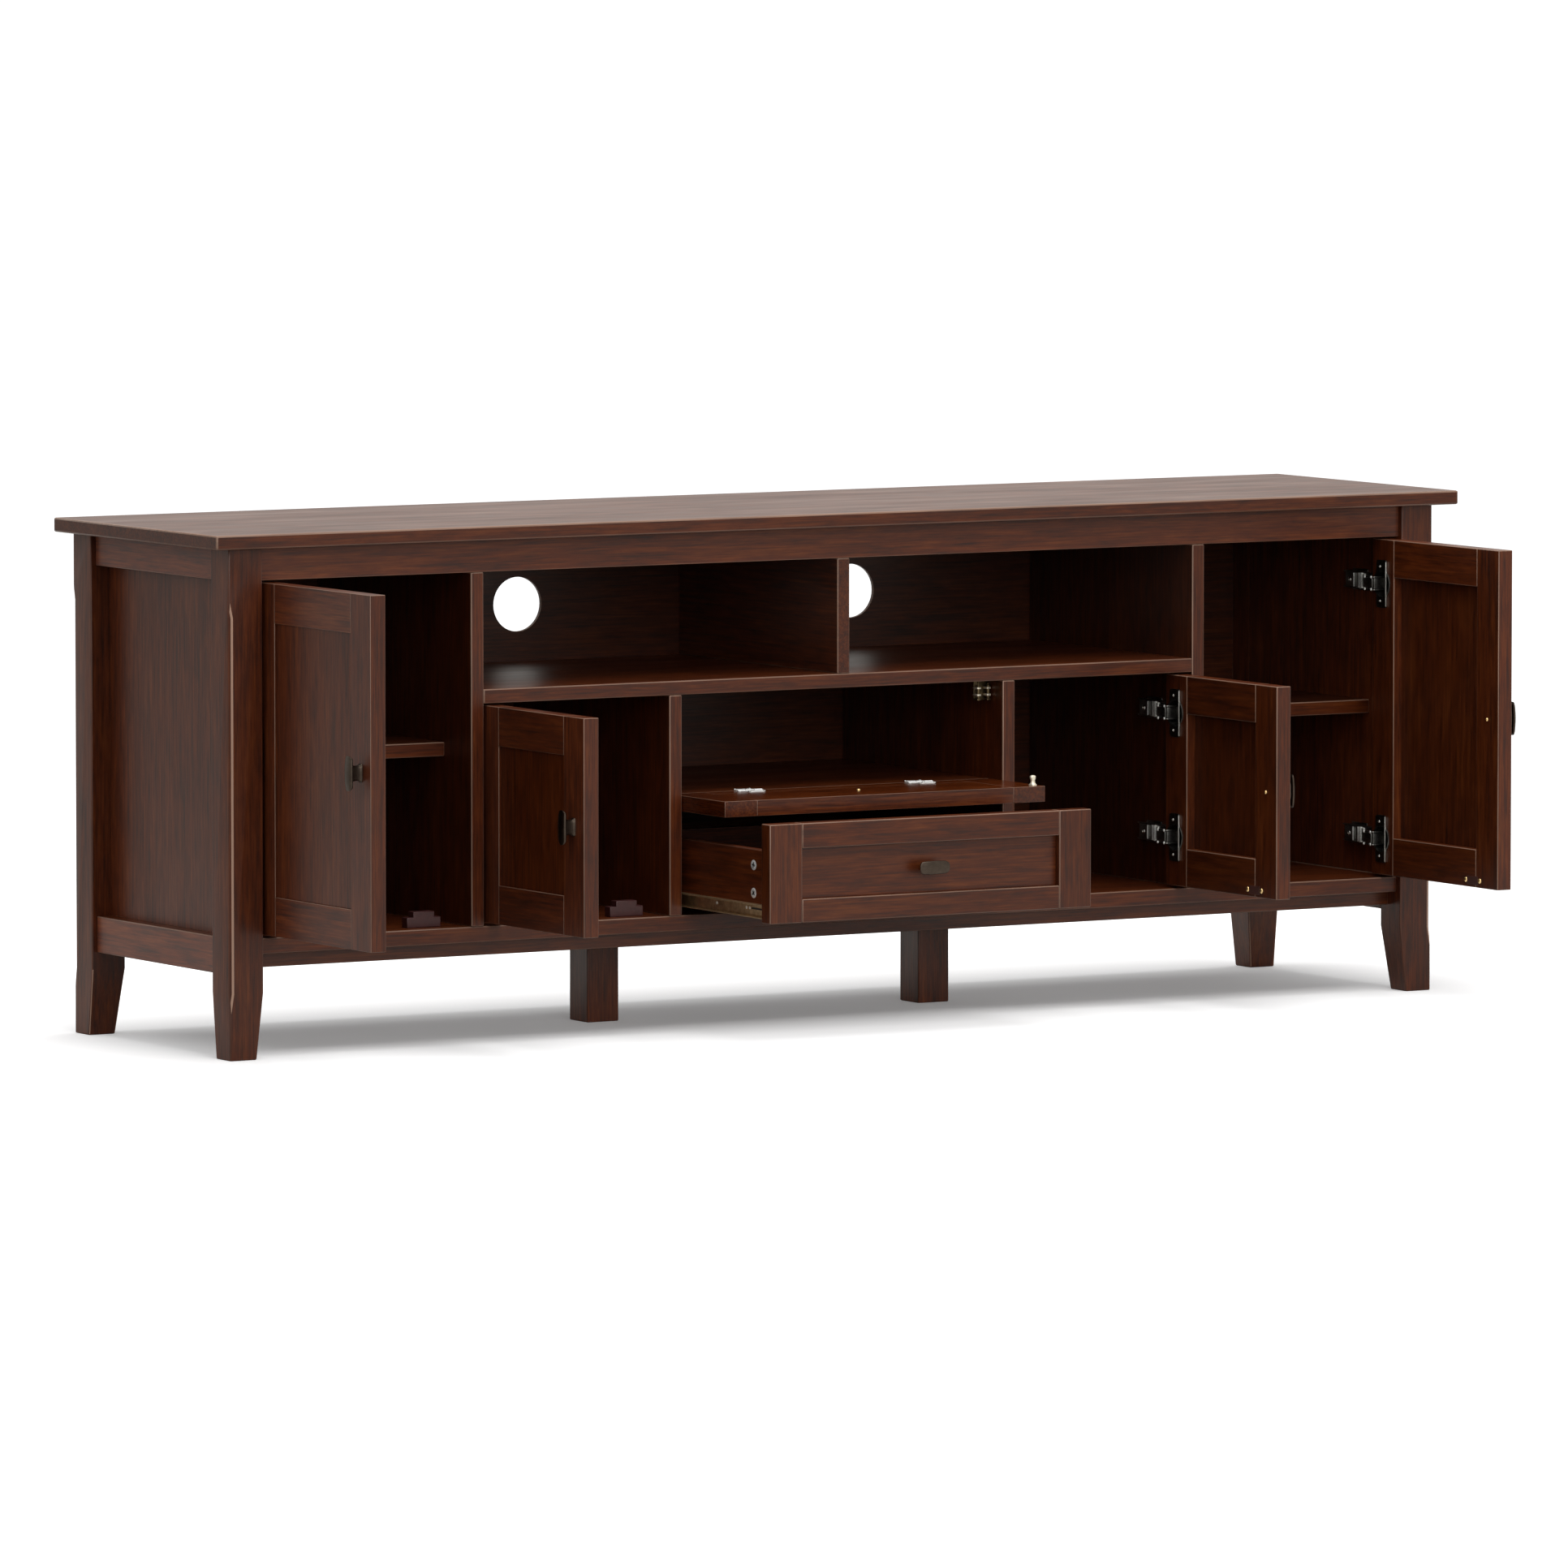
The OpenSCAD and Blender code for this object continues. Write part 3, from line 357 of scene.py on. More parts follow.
wooden("front_apron", RAIL_EASE, tone_and_light=APRON_PAINTED_LIGHT)
for node in ["left_side_rails", "right_side_rails"]:
    wooden(node, RAIL_EASE, painted_side_light=(LEFTWARD, RAIL_LEFT_PAINTED_LIGHT))
for node in ["left_side_panel", "right_side_panel"]:
    wooden(node, PANEL_EASE, painted_side_light=(LEFTWARD, PANEL_LEFT_PAINTED_LIGHT))
wooden("base_rails", RAIL_EASE, slot="inside_wood")
wooden("back_panel", PANEL_EASE, slot="inside_wood", tone_and_light=BACK_PAINTED_SHADE)

# Boards of the case
# The floor, the dividers and the shelves are glued and screwed boards, and their front edges are
# eased. The dividers' left faces and the bay shelves' tops are darkened as painted shade, and
# the middle shelf's top is lightened as painted light.

BOARD_EASE = 0.0014
DIVIDER_LEFT_PAINTED_SHADE = 0.62
LOWER_DIVIDER_LEFT_PAINTED_SHADE = 0.80
MIDDLE_SHELF_TOP_PAINTED_LIGHT = 1.25
BAY_SHELF_TOP_PAINTED_SHADE = 0.55

for node in ["floor_panel", "upper_divider", "drawer_cover_board"]:
    wooden(node, BOARD_EASE)
for node in ["left_divider", "right_divider"]:
    wooden(node, BOARD_EASE, painted_side_light=(LEFTWARD, DIVIDER_LEFT_PAINTED_SHADE))
wooden("middle_shelf", BOARD_EASE, painted_side_light=(UP, MIDDLE_SHELF_TOP_PAINTED_LIGHT))
wooden("lower_dividers", BOARD_EASE, axis=2, painted_side_light=(LEFTWARD, LOWER_DIVIDER_LEFT_PAINTED_SHADE))
wooden("bay_shelves", BOARD_EASE, axis=0, painted_side_light=(UP, BAY_SHELF_TOP_PAINTED_SHADE))

# Top
# One broad slab, glued up from boards, lies on the case and stands past the legs. Its
# edges are rounded.

TOP_EASE = 0.0022

wooden("top_slab", TOP_EASE)

# Doors
# Each door is a frame of two stiles and two rails round a thin flat panel that sits in a groove.
# The faces that look left are darkened as painted shade on the right doors, whose inner faces
# they are, and lightened as painted light on the left doors; the right tall door's frame is
# lightened too.

DOORS = ["left_tall", "left_small", "right_small", "right_tall"]
DOOR_EASE = 0.0010
DOOR_PANEL_EASE = 0.0004
# Painted shade on the right doors' inner faces; painted light on the left doors' outer faces and
# the right tall frame.
INNER_FACE_PAINTED_SHADE = 0.70
OUTER_FRAME_PAINTED_LIGHT = 1.42
OUTER_PANEL_PAINTED_LIGHT = 1.22
RIGHT_TALL_PAINTED_LIGHT = 1.25

for door in DOORS:
    inner_left = door.startswith("right")
    frame_side = INNER_FACE_PAINTED_SHADE if inner_left else OUTER_FRAME_PAINTED_LIGHT
    panel_side = INNER_FACE_PAINTED_SHADE if inner_left else OUTER_PANEL_PAINTED_LIGHT
    wooden(door + "_frame", DOOR_EASE, tone_and_light=RIGHT_TALL_PAINTED_LIGHT if door == "right_tall" else 1.0,
           painted_side_light=(LEFTWARD, frame_side))
    wooden(door + "_panel", DOOR_PANEL_EASE, wear_and_highlight=0.0, painted_side_light=(LEFTWARD, panel_side))

# Knobs
# Cast bow knobs in dark oiled bronze, each a curved oblong grip on a waisted stem. They
# stand upright on the doors and lie along the drawer front and under the flap.

CLOUD_WAVES = (140, 140, 140)
TOOTH_WAVES = (1600, 1600, 1600)
DRAWN_WAVES = (90, 90, 1400)
TOOTH_DEPTH = 0.0001
GRIP_STEPS = 28
GRIP_HALF = 0.0215
GRIP_WIDE = 0.0172
GRIP_CORNER = 0.0058
GRIP_FRONT = 0.0040
GRIP_BACK = 0.0020
BACK_SHORT = 0.0036
GRIP_DRAWN_IN = 0.13
GRIP_FALL = 0.40
BACK_FALL = 1.9
STEM_LONG = 0.0205
STEM_WIDE = 0.0100
STEM_SECTIONS = [
    (-0.0002, 1.12), (0.0008, 1.12), (0.0020, 1.00), (0.0040, 0.92), (0.0080, 0.90),
    (0.0115, 0.97), (0.0150, 1.10),
]


def metal_material(name, colour, roughness, speckle=0.15, metallic=1.0):
    """A cast, stamped or moulded finish with cloudy tone and a fine tooth."""
    material, tree, shader = new_material(name)
    place = add(tree, "ShaderNodeTexCoord").outputs["Object"]
    cloud = noise(tree, place, CLOUD_WAVES, detail=4)
    fine = noise(tree, place, TOOTH_WAVES, detail=2)
    drawn = noise(tree, place, DRAWN_WAVES, detail=2)
    shade = spread(tree, cloud, 0.3, 0.7, 1 - speckle, 1 + speckle)
    shade = calculate(tree, "MULTIPLY", shade, spread(tree, drawn, 0.3, 0.7, 0.93, 1.07))
    base = blend_colours(tree, 1.0, (*colour, 1), shade, kind="MULTIPLY")
    tree.links.new(base, shader.inputs["Base Color"])
    tree.links.new(spread(tree, fine, 0.3, 0.7, roughness * 0.8, roughness * 1.3),
                   shader.inputs["Roughness"])
    shader.inputs["Metallic"].default_value = metallic
    bump = add(tree, "ShaderNodeBump",
               {"Height": fine, "Strength": RELIEF_STRENGTH, "Distance": TOOTH_DEPTH})
    tree.links.new(bump.outputs["Normal"], shader.inputs["Normal"])
    return material


def skin(bm, rings, place=Matrix()):
    """Joins rings of points into one closed shell. A ring of one point is a pole."""
    loops = [[bm.verts.new(place @ Vector(point)) for point in ring] for ring in rings]
    faces = []
    for first, second in zip(loops, loops[1:]):
        count = max(len(first), len(second))
        for i in range(count):
            j = (i + 1) % count
            if len(first) == 1:
                corners = (first[0], second[j], second[i])
            elif len(second) == 1:
                corners = (first[i], first[j], second[0])
            else:
                corners = (first[i], first[j], second[j], second[i])
            faces.append(bm.faces.new(corners))
    for loop in (loops[0], loops[-1]):
        if len(loop) > 2:
            faces.append(bm.faces.new(loop))
    bmesh.ops.recalc_face_normals(bm, faces=faces)
    return faces


def oval(half_x, half_y, z, power=2.0, count=24):
    """A ring across Z, from a plain ellipse to a rounded oblong as the power grows."""
    points = []
    for i in range(count):
        turn = math.tau * i / count
        x, y = math.cos(turn), math.sin(turn)
        points.append((half_x * math.copysign(abs(x) ** (2 / power), x),
                       half_y * math.copysign(abs(y) ** (2 / power), y), z))
    return points


def corners_of(node):
    """The lowest and the highest corner of a CAD node."""
    low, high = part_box(node)
    return Vector(low), Vector(high)


def knob_place(node, outward, along):
    """Puts a knob's own frame on the wood: -Y stands out from it, Z lies along the grip."""
    low, high = corners_of(node)
    centre = (low + high) / 2
    stand = abs((high - low).dot(outward))
    seat = centre - outward * stand / 2
    columns = (-outward).cross(along), -outward, along
    turn = Matrix(columns).transposed().to_4x4()
    return Matrix.Translation(seat) @ turn, stand


def bow_knob(node, outward, along, fullness=1.0):
    """A pillow-shaped grip, longer at its face than at its back, on a square stem."""
    place, stand = knob_place(node, outward, along)
    seat = stand - GRIP_FRONT * fullness
    grip, stem = [], []
    for step in range(GRIP_STEPS + 1):
        z = GRIP_HALF * math.sin(math.pi * (step / GRIP_STEPS - 0.5))
        part = z / GRIP_HALF
        past = max(0.0, abs(z) - (GRIP_HALF - GRIP_CORNER))
        across = GRIP_WIDE / 2 * (1 - GRIP_DRAWN_IN * part ** 2)
        across += math.sqrt(max(0.0, GRIP_CORNER ** 2 - past ** 2)) - GRIP_CORNER
        front = GRIP_FRONT * fullness * (1 - GRIP_FALL * part ** 2)
        short = max(0.0, abs(z) - (GRIP_HALF - BACK_SHORT)) / BACK_SHORT
        back = GRIP_BACK * fullness * (1 - BACK_FALL * short)
        middle = (front - back) / 2
        grip.append([(x, y - seat - middle, z) for x, y, z in
                     oval(across, (front + back) / 2, z, power=2.5, count=32)])
    for depth, wide in STEM_SECTIONS:
        out = min(depth, seat)
        stem.append([(x, -out, y) for x, y, _ in
                     oval(wide * STEM_WIDE / 2, wide * STEM_LONG / 2, 0, power=5)])
    bm = bmesh.new()
    skin(bm, grip, place)
    skin(bm, stem, place)
    shade_by_angle(bm, limit=math.radians(50))
    return finished(bm, node + "_bronze", frame["nodes"][node]["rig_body"], oiled_bronze,
                    "knob_bronze", node)


oiled_bronze = metal_material("oiled bronze", (0.062, 0.047, 0.037), 0.33, speckle=0.18)
for door in DOORS:
    out = -1 if door.startswith("left") else 1
    bow_knob(door + "_knob", Vector((out, 0, 0)), UP)
bow_knob("drawer_knob", Vector((0, -1, 0)), Vector((1, 0, 0)))
bow_knob("flap_knob", -UP, Vector((1, 0, 0)), fullness=0.85)

# Cups of the door hinges
# Each door has two stamped cups in black nickel, let into the hinge stile and held by
# a flange with two small screws. A thin pin crosses the cup, and a steel lip edges it.

PIVOT = {joint["name"].removesuffix("_hinge"): Vector(joint["pos_m"])
         for joint in frame["joints"] if joint["name"].endswith("_hinge")}
CUP_MIDDLE = 0.011
CUP_RADIUS = 0.0175
CUP_BORE = 0.0166
CUP_FLOOR = -0.0030
RIM_RADIUS = 0.019
FLANGE_HALF_W = 0.012
FLANGE_HALF_H = 0.031
FLANGE_BACK = 0.012
FLANGE_FACE = 0.0135
CUP_STEPS = 72
HINGE_PIN = 0.0012
LIP_WIDE = 0.0016
LIP_HALF_H = 0.029
METAL_SMOOTH = math.radians(35)


def door_frame_of(door):
    """A door's own frame: X from its pin to the free edge, Y from outer to inner face."""
    side = -1 if door.startswith("left") else 1
    turn = Matrix(((0, -side, 0), (-1, 0, 0), (0, 0, 1))).to_4x4()
    return Matrix.Translation((PIVOT[door].x, PIVOT[door].y, 0)) @ turn


def hinge_heights(door):
    """The heights of a door's lower and upper cup."""
    low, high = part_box(door + "_cups")
    return low[2] + FLANGE_HALF_H, high[2] - FLANGE_HALF_H


def flange_reach(turn):
    """How far the flange reaches from the cup's centre: an oblong with a round middle."""
    wide = abs(math.cos(turn)) / FLANGE_HALF_W
    high = abs(math.sin(turn)) / FLANGE_HALF_H
    return max(RIM_RADIUS, (wide ** 12 + high ** 12) ** (-1 / 12))


def hinge_cup(bm, place, height):
    """One cup with its flange, from its floor out over the rim and back in, and its pin."""
    def ring(reach, depth):
        points = []
        for i in range(CUP_STEPS):
            turn = math.tau * i / CUP_STEPS
            out = reach(turn) if callable(reach) else reach
            points.append((CUP_MIDDLE + out * math.cos(turn), depth,
                           height + out * math.sin(turn)))
        return points

    def pole(depth):
        return [(CUP_MIDDLE, depth, height)]

    skin(bm, [
        pole(CUP_FLOOR), ring(CUP_RADIUS - 0.0006, CUP_FLOOR),
        ring(CUP_RADIUS, CUP_FLOOR + 0.001),
        ring(CUP_RADIUS, FLANGE_BACK), ring(flange_reach, FLANGE_BACK),
        ring(flange_reach, FLANGE_FACE - 0.0004),
        ring(lambda turn: flange_reach(turn) - 0.0004, FLANGE_FACE),
        ring(CUP_BORE + 0.0009, FLANGE_FACE), ring(CUP_BORE + 0.0002, FLANGE_FACE - 0.0005),
        ring(CUP_BORE, FLANGE_FACE - 0.0012), ring(CUP_BORE, CUP_FLOOR + 0.0014),
        ring(CUP_BORE - 0.0004, CUP_FLOOR + 0.0008), ring(0.004, CUP_FLOOR + 0.0007),
        pole(CUP_FLOOR + 0.0007),
    ], place)
    reach = CUP_BORE * 0.78
    skin(bm, [oval(HINGE_PIN * size, HINGE_PIN * size, z, count=16) for size, z in
              ((0.6, height - reach - 0.0004), (1.0, height - reach), (1.0, height + reach),
               (0.6, height + reach + 0.0004))], place)


def block(bm, low, high, ease, place=Matrix(), segments=2):
    """A stamped or milled bar from its lowest to its highest corner, its edges eased."""
    low, high = Vector(low), Vector(high)
    size, middle = high - low, (low + high) / 2
    shape = place @ Matrix.Translation(middle) @ Matrix.Diagonal((*size, 1))
    made = bmesh.ops.create_cube(bm, size=1, matrix=shape)["verts"]
    faces = list({face for vertex in made for face in vertex.link_faces})
    bmesh.ops.recalc_face_normals(bm, faces=faces)
    edges = list({edge for vertex in made for edge in vertex.link_edges})
    bmesh.ops.bevel(bm, geom=edges, offset=ease, segments=segments, profile=0.5,
                    affect="EDGES", clamp_overlap=True)


black_nickel = metal_material("black nickel", (0.115, 0.112, 0.105), 0.28)
lip_steel = metal_material("grey steel", (0.46, 0.45, 0.42), 0.32)

for door in DOORS:
    place = door_frame_of(door)
    cups = bmesh.new()
    lips = bmesh.new()
    for height in hinge_heights(door):
        hinge_cup(cups, place, height)
        flange_edge = CUP_MIDDLE + FLANGE_HALF_W
        block(lips, (flange_edge - LIP_WIDE, FLANGE_BACK, height - LIP_HALF_H),
              (flange_edge, FLANGE_FACE + 0.0012, height + LIP_HALF_H), 0.0006, place)
    shade_by_angle(cups, METAL_SMOOTH)
    shade_by_angle(lips, METAL_SMOOTH)
    finished(cups, door + "_cups_nickel", door + "_door", black_nickel, "hinge_nickel",
             door + "_cups")
    finished(lips, door + "_cup_lips", door + "_door", lip_steel, "hinge_nickel")

# Screws of the doors
# Small cross-head screws hold the cups. Brass eyelet screws hold the painted strike
# plates, and the knob's own brass screw comes through the stile.

SCREW_SEED = 7
CUP_SCREW = (0.0020, 0.0011, 0.0007)
STRIKE_SCREW = (0.0034, 0.0019, 0.0011)
KNOB_SCREW = (0.0024, 0.0019, 0.0009)
CUP_SCREW_SETBACK = 0.003
CUP_SCREW_APART = 0.0225
INNER_FACE = 0.012
STRIKE_BETWEEN = 0.032
STRIKE_UP = 0.009
STRIKE_FROM_EDGE = {"tall": 0.057, "small": 0.051}
KNOB_FROM_EDGE = 0.0255
PLATE_HALF_W = 0.0125
PLATE_HALF_H = 0.0055
PLATE_THICK = 0.0008


def head_tree(name, drive):
    """Geometry nodes that seat one screw or rivet head on each point, facing its way."""
    tree = bpy.data.node_groups.new(name, "GeometryNodeTree")
    face = tree.interface
    face.new_socket("Seats", in_out="INPUT", socket_type="NodeSocketGeometry")
    for label in ("Head Radius", "Head Height", "Drive Size"):
        face.new_socket(label, in_out="INPUT", socket_type="NodeSocketFloat")
    face.new_socket("Seed", in_out="INPUT", socket_type="NodeSocketInt")
    face.new_socket("Finish", in_out="INPUT", socket_type="NodeSocketMaterial")
    face.new_socket("Heads", in_out="OUTPUT", socket_type="NodeSocketGeometry")
    given = tree.nodes.new("NodeGroupInput").outputs
    radius, height, size = given["Head Radius"], given["Head Height"], given["Drive Size"]

    def times(first, second):
        return calculate(tree, "MULTIPLY", first, second)

    def vector(x, y, z):
        return add(tree, "ShaderNodeCombineXYZ", {0: x, 1: y, 2: z}).outputs[0]

    def lifted(shape, up):
        return add(tree, "GeometryNodeTransform",
                   {"Geometry": shape, "Translation": vector(0.0, 0.0, up)}).outputs[0]

    dome = add(tree, "GeometryNodeMeshUVSphere",
               {"Segments": 28, "Rings": 14, "Radius": 1.0}).outputs["Mesh"]
    dome = add(tree, "GeometryNodeTransform",
               {"Geometry": dome, "Scale": vector(radius, radius, height)}).outputs[0]
    wide = times(radius, 3.0)
    room = add(tree, "GeometryNodeMeshCube",
               {"Size": vector(wide, wide, times(height, 2.0))}).outputs["Mesh"]

    def cut(operation, solid, tools):
        node = add(tree, "GeometryNodeMeshBoolean", operation=operation)
        if operation == "DIFFERENCE":
            tree.links.new(solid, node.inputs["Mesh 1"])
        else:
            tree.links.new(solid, node.inputs["Mesh 2"])
        for tool in tools:
            tree.links.new(tool, node.inputs["Mesh 2"])
        return node.outputs["Mesh"]

    head = cut("INTERSECT", dome, [lifted(room, height)])
    tools = []
    if drive in ("cross", "fill"):
        deep, lift = (1.6, 1.0) if drive == "cross" else (0.5, 0.15)
        for long_x in (True, False):
            bar_long = times(radius, 1.15)
            sides = (bar_long, size) if long_x else (size, bar_long)
            bar = add(tree, "GeometryNodeMeshCube",
                      {"Size": vector(*sides, times(height, deep))}).outputs["Mesh"]
            tools.append(lifted(bar, times(height, lift)))
    # A fill is a low cross that lies in a slot's bottom and carries the slot's painted shade.
    if drive == "fill":
        head, tools = cut("UNION", tools[0], tools[1:]), []
    if drive == "eyelet":
        well = add(tree, "GeometryNodeMeshCone", {
            "Vertices": 24, "Radius Top": times(size, 1.5),
            "Radius Bottom": times(size, 0.8), "Depth": height,
        }).outputs["Mesh"]
        tools.append(lifted(well, times(height, 0.25)))
    for tool in tools:
        head = cut("DIFFERENCE", head, [tool])
    facing = add(tree, "GeometryNodeInputNamedAttribute", {"Name": "facing"},
                 data_type="FLOAT_VECTOR").outputs["Attribute"]
    aimed = add(tree, "FunctionNodeAlignRotationToVector", {"Vector": facing},
                axis="Z").outputs["Rotation"]
    heads = add(tree, "GeometryNodeInstanceOnPoints", {
        "Points": given["Seats"], "Instance": head, "Rotation": aimed,
    }).outputs["Instances"]
    spin = add(tree, "FunctionNodeRandomValue", {2: 0.0, 3: math.pi, "Seed": given["Seed"]},
               data_type="FLOAT").outputs[1]
    turned_heads = add(tree, "GeometryNodeRotateInstances", {
        "Instances": heads, "Rotation": vector(0.0, 0.0, spin),
    }).outputs[0]
    real = add(tree, "GeometryNodeRealizeInstances", {"Geometry": turned_heads}).outputs[0]
    real = add(tree, "GeometryNodeSetMaterial",
               {"Geometry": real, "Material": given["Finish"]}).outputs[0]
    result = tree.nodes.new("NodeGroupOutput")
    tree.links.new(real, result.inputs["Heads"])
    return tree


cross_heads = head_tree("cross-head screws", "cross")
eyelet_heads = head_tree("eyelet screws", "eyelet")
rivet_heads = head_tree("rivets", "none")
painted_cross_slot_shade = head_tree("painted shade in the cross slots", "fill")


def heads_on(name, body, tree, seats, head, finish, slot, *nodes):
    """One piece that holds a head for each seat, given as its place and the way it faces.

    head is the head's radius, its height and the width of its drive.
    """
    mesh = bpy.data.meshes.new(name)
    mesh.from_pydata([tuple(place) for place, _ in seats], [], [])
    facing = mesh.attributes.new("facing", "FLOAT_VECTOR", "POINT")
    for i, (_, way) in enumerate(seats):
        facing.data[i].vector = way.normalized()
    piece = placed(name, mesh)
    modifier = piece.modifiers.new("heads", "NODES")
    modifier.node_group = tree
    values = {"Head Radius": head[0], "Head Height": head[1], "Drive Size": head[2],
              "Seed": SCREW_SEED, "Finish": finish}
    for item in tree.interface.items_tree:
        if item.name in values:
            modifier[item.identifier] = values[item.name]
    graph = bpy.context.evaluated_depsgraph_get()
    made = bpy.data.meshes.new_from_object(piece.evaluated_get(graph))
    piece.modifiers.remove(modifier)
    made.name = name
    for polygon in made.polygons:
        polygon.use_smooth = False
    piece.data = made
    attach(piece, body)
    if nodes:
        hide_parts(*nodes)
    return piece


brass = metal_material("plain brass", (0.84, 0.60, 0.28), 0.26, metallic=0.9)
bright_screw = metal_material("bright screw steel", (0.62, 0.61, 0.58), 0.22)
strike_paint = metal_material("maroon enamel", (0.048, 0.0150, 0.0110), 0.38, metallic=0.0)

for door in DOORS:
    place = door_frame_of(door)
    inward = place.to_3x3() @ Vector((0, 1, 0))
    low, high = corners_of(door + "_frame")
    edge = PIVOT[door].y - low.y
    size = "tall" if door.endswith("tall") else "small"
    cup_seats = []
    for height in hinge_heights(door):
        for step in (-1, 1):
            spot = Vector((CUP_MIDDLE - CUP_SCREW_SETBACK, FLANGE_FACE,
                           height + step * CUP_SCREW_APART))
            cup_seats.append((place @ spot, inward))
    heads_on(door + "_cup_screws", door + "_door", cross_heads, cup_seats, CUP_SCREW,
             bright_screw, "hinge_nickel")
    strike_x = edge - STRIKE_FROM_EDGE[size]
    strike_z = low.z + STRIKE_UP
    strike_seats = []
    for step in (-1, 1):
        spot = Vector((strike_x + step * STRIKE_BETWEEN / 2, INNER_FACE, strike_z))
        strike_seats.append((place @ spot, inward))
    heads_on(door + "_strike_screws", door + "_door", eyelet_heads, strike_seats,
             STRIKE_SCREW, brass, "brass", door + "_screws")
    knob_seat = place @ Vector((edge - KNOB_FROM_EDGE, INNER_FACE, (low.z + high.z) / 2))
    heads_on(door + "_knob_screw", door + "_door", cross_heads, [(knob_seat, inward)],
             KNOB_SCREW, brass, "brass")
    plate = bmesh.new()
    block(plate, (strike_x - PLATE_HALF_W, INNER_FACE, strike_z - PLATE_HALF_H),
          (strike_x + PLATE_HALF_W, INNER_FACE + PLATE_THICK, strike_z + PLATE_HALF_H),
          0.0003, place)
    finished(plate, door + "_strike_plate", door + "_door", strike_paint, "catch_plastic")

# Arms of the door hinges
# Each arm is a stamped channel that hooks round the door's edge to the pin in its cup.
# A silver clip and two screws hold it on a low plate on the bay's wall.

ARM_HALF = 0.009
WALL_HALF = 0.011
WALL = -0.014
ARM_TOP = -0.002
HOOK_LOW = 0.016
HOOK_HIGH = 0.020
UPPER_LOW = 0.0191
UPPER_HIGH = 0.0231
ARM_END = 0.110
ARM_PLATE = 0.014
PIN_EYE = 0.00205
SHEET = 0.0016
WEB_HALF = 0.0068
CLIP_UNDER = ARM_TOP - 0.0004
CLIP_RIM = ARM_TOP + 0.0006
CLIP_BARS = [
    (0.0505, 0.0016, 0.0092, 0.0014), (0.0560, 0.0032, 0.0102, 0.0030),
    (0.0625, 0.0018, 0.0094, 0.0020), (0.0755, 0.0020, 0.0090, 0.0014),
]
HINGE_RIVET = (0.0019, 0.0011, 0.0)
RIVET_APART = 0.0080
ARM_SCREW = (0.0032, 0.0016, 0.0011)


def arm_frame_of(door, height):
    """An arm's own frame: the pin on Z, X away from the bay's wall, Y into the bay."""
    side = 1 if door.startswith("left") else -1
    move = Matrix.Translation((PIVOT[door].x, PIVOT[door].y, height))
    return move @ Matrix.Diagonal((side, 1, 1, 1))


def plate_of(bm, outline, low, high, ease, place):
    """A flat plate cut to an outline in X and Y, from one height to another."""
    faces = skin(bm, [[(x, y, low) for x, y in outline], [(x, y, high) for x, y in outline]],
                 place)
    edges = list({edge for face in faces for edge in face.edges})
    bmesh.ops.bevel(bm, geom=edges, offset=ease, segments=1, profile=0.5,
                    affect="EDGES", clamp_overlap=True)


def hinge_arm(bm, place):
    """Two hooked sides and two sides along the wall, the webs between them and the plate."""
    hook_side = [
        (-PIN_EYE, -PIN_EYE), (HOOK_HIGH - 0.002, -PIN_EYE), (HOOK_HIGH, 0.0),
        (HOOK_HIGH, UPPER_HIGH - 0.002), (HOOK_HIGH - 0.002, UPPER_HIGH),
        (WALL + 0.004, UPPER_HIGH), (WALL + 0.004, UPPER_LOW), (HOOK_LOW, UPPER_LOW),
        (HOOK_LOW, PIN_EYE), (-PIN_EYE, PIN_EYE),
    ]
    wall_side = [
        (WALL + 0.002, UPPER_LOW), (ARM_TOP - 0.003, UPPER_LOW), (ARM_TOP, UPPER_LOW + 0.004),
        (ARM_TOP, ARM_END - 0.014), (ARM_TOP - 0.005, ARM_END), (WALL + 0.002, ARM_END),
    ]
    for step in (-1, 1):
        for outline, half in ((hook_side, ARM_HALF), (wall_side, WALL_HALF)):
            low, high = sorted((step * half, step * (half - SHEET)))
            plate_of(bm, outline, low, high, 0.0003, place)
    block(bm, (HOOK_LOW + 0.0012, 0.002, -WEB_HALF),
          (HOOK_HIGH - 0.0006, UPPER_HIGH - 0.0015, WEB_HALF), 0.0005, place)
    block(bm, (WALL + 0.004, UPPER_LOW + 0.0006, -WEB_HALF - 0.0006),
          (HOOK_HIGH - 0.001, UPPER_HIGH - 0.0004, WEB_HALF + 0.0006), 0.0005, place)
    block(bm, (0.0018, -0.0014, -WEB_HALF), (HOOK_HIGH - 0.002, 0.0016, WEB_HALF),
          0.0005, place)
    block(bm, (ARM_TOP - 0.0022, UPPER_LOW + 0.004, -WALL_HALF + SHEET),
          (ARM_TOP - 0.0004, ARM_END - 0.012, WALL_HALF - SHEET), 0.0004, place)
    block(bm, (WALL, ARM_END - 0.050, -ARM_PLATE),
          (WALL + 0.002, ARM_END - 0.014, ARM_PLATE), 0.0006, place)


def hinge_clip(bm, place):
    """A low tongue, two rims and four raised bars, each bar with its start and its sizes."""
    block(bm, (CLIP_UNDER, 0.0495, -0.0092), (ARM_TOP + 0.0003, 0.052, 0.0092), 0.0001, place)
    block(bm, (CLIP_UNDER, 0.053, -0.0098), (CLIP_RIM, 0.067, -0.0082), 0.0003, place)
    block(bm, (CLIP_UNDER, 0.053, 0.0082), (CLIP_RIM, 0.067, 0.0098), 0.0003, place)
    for start, wide, tall, lift in CLIP_BARS:
        block(bm, (ARM_TOP, start, -tall), (ARM_TOP + lift, start + wide, tall), 0.0004, place)


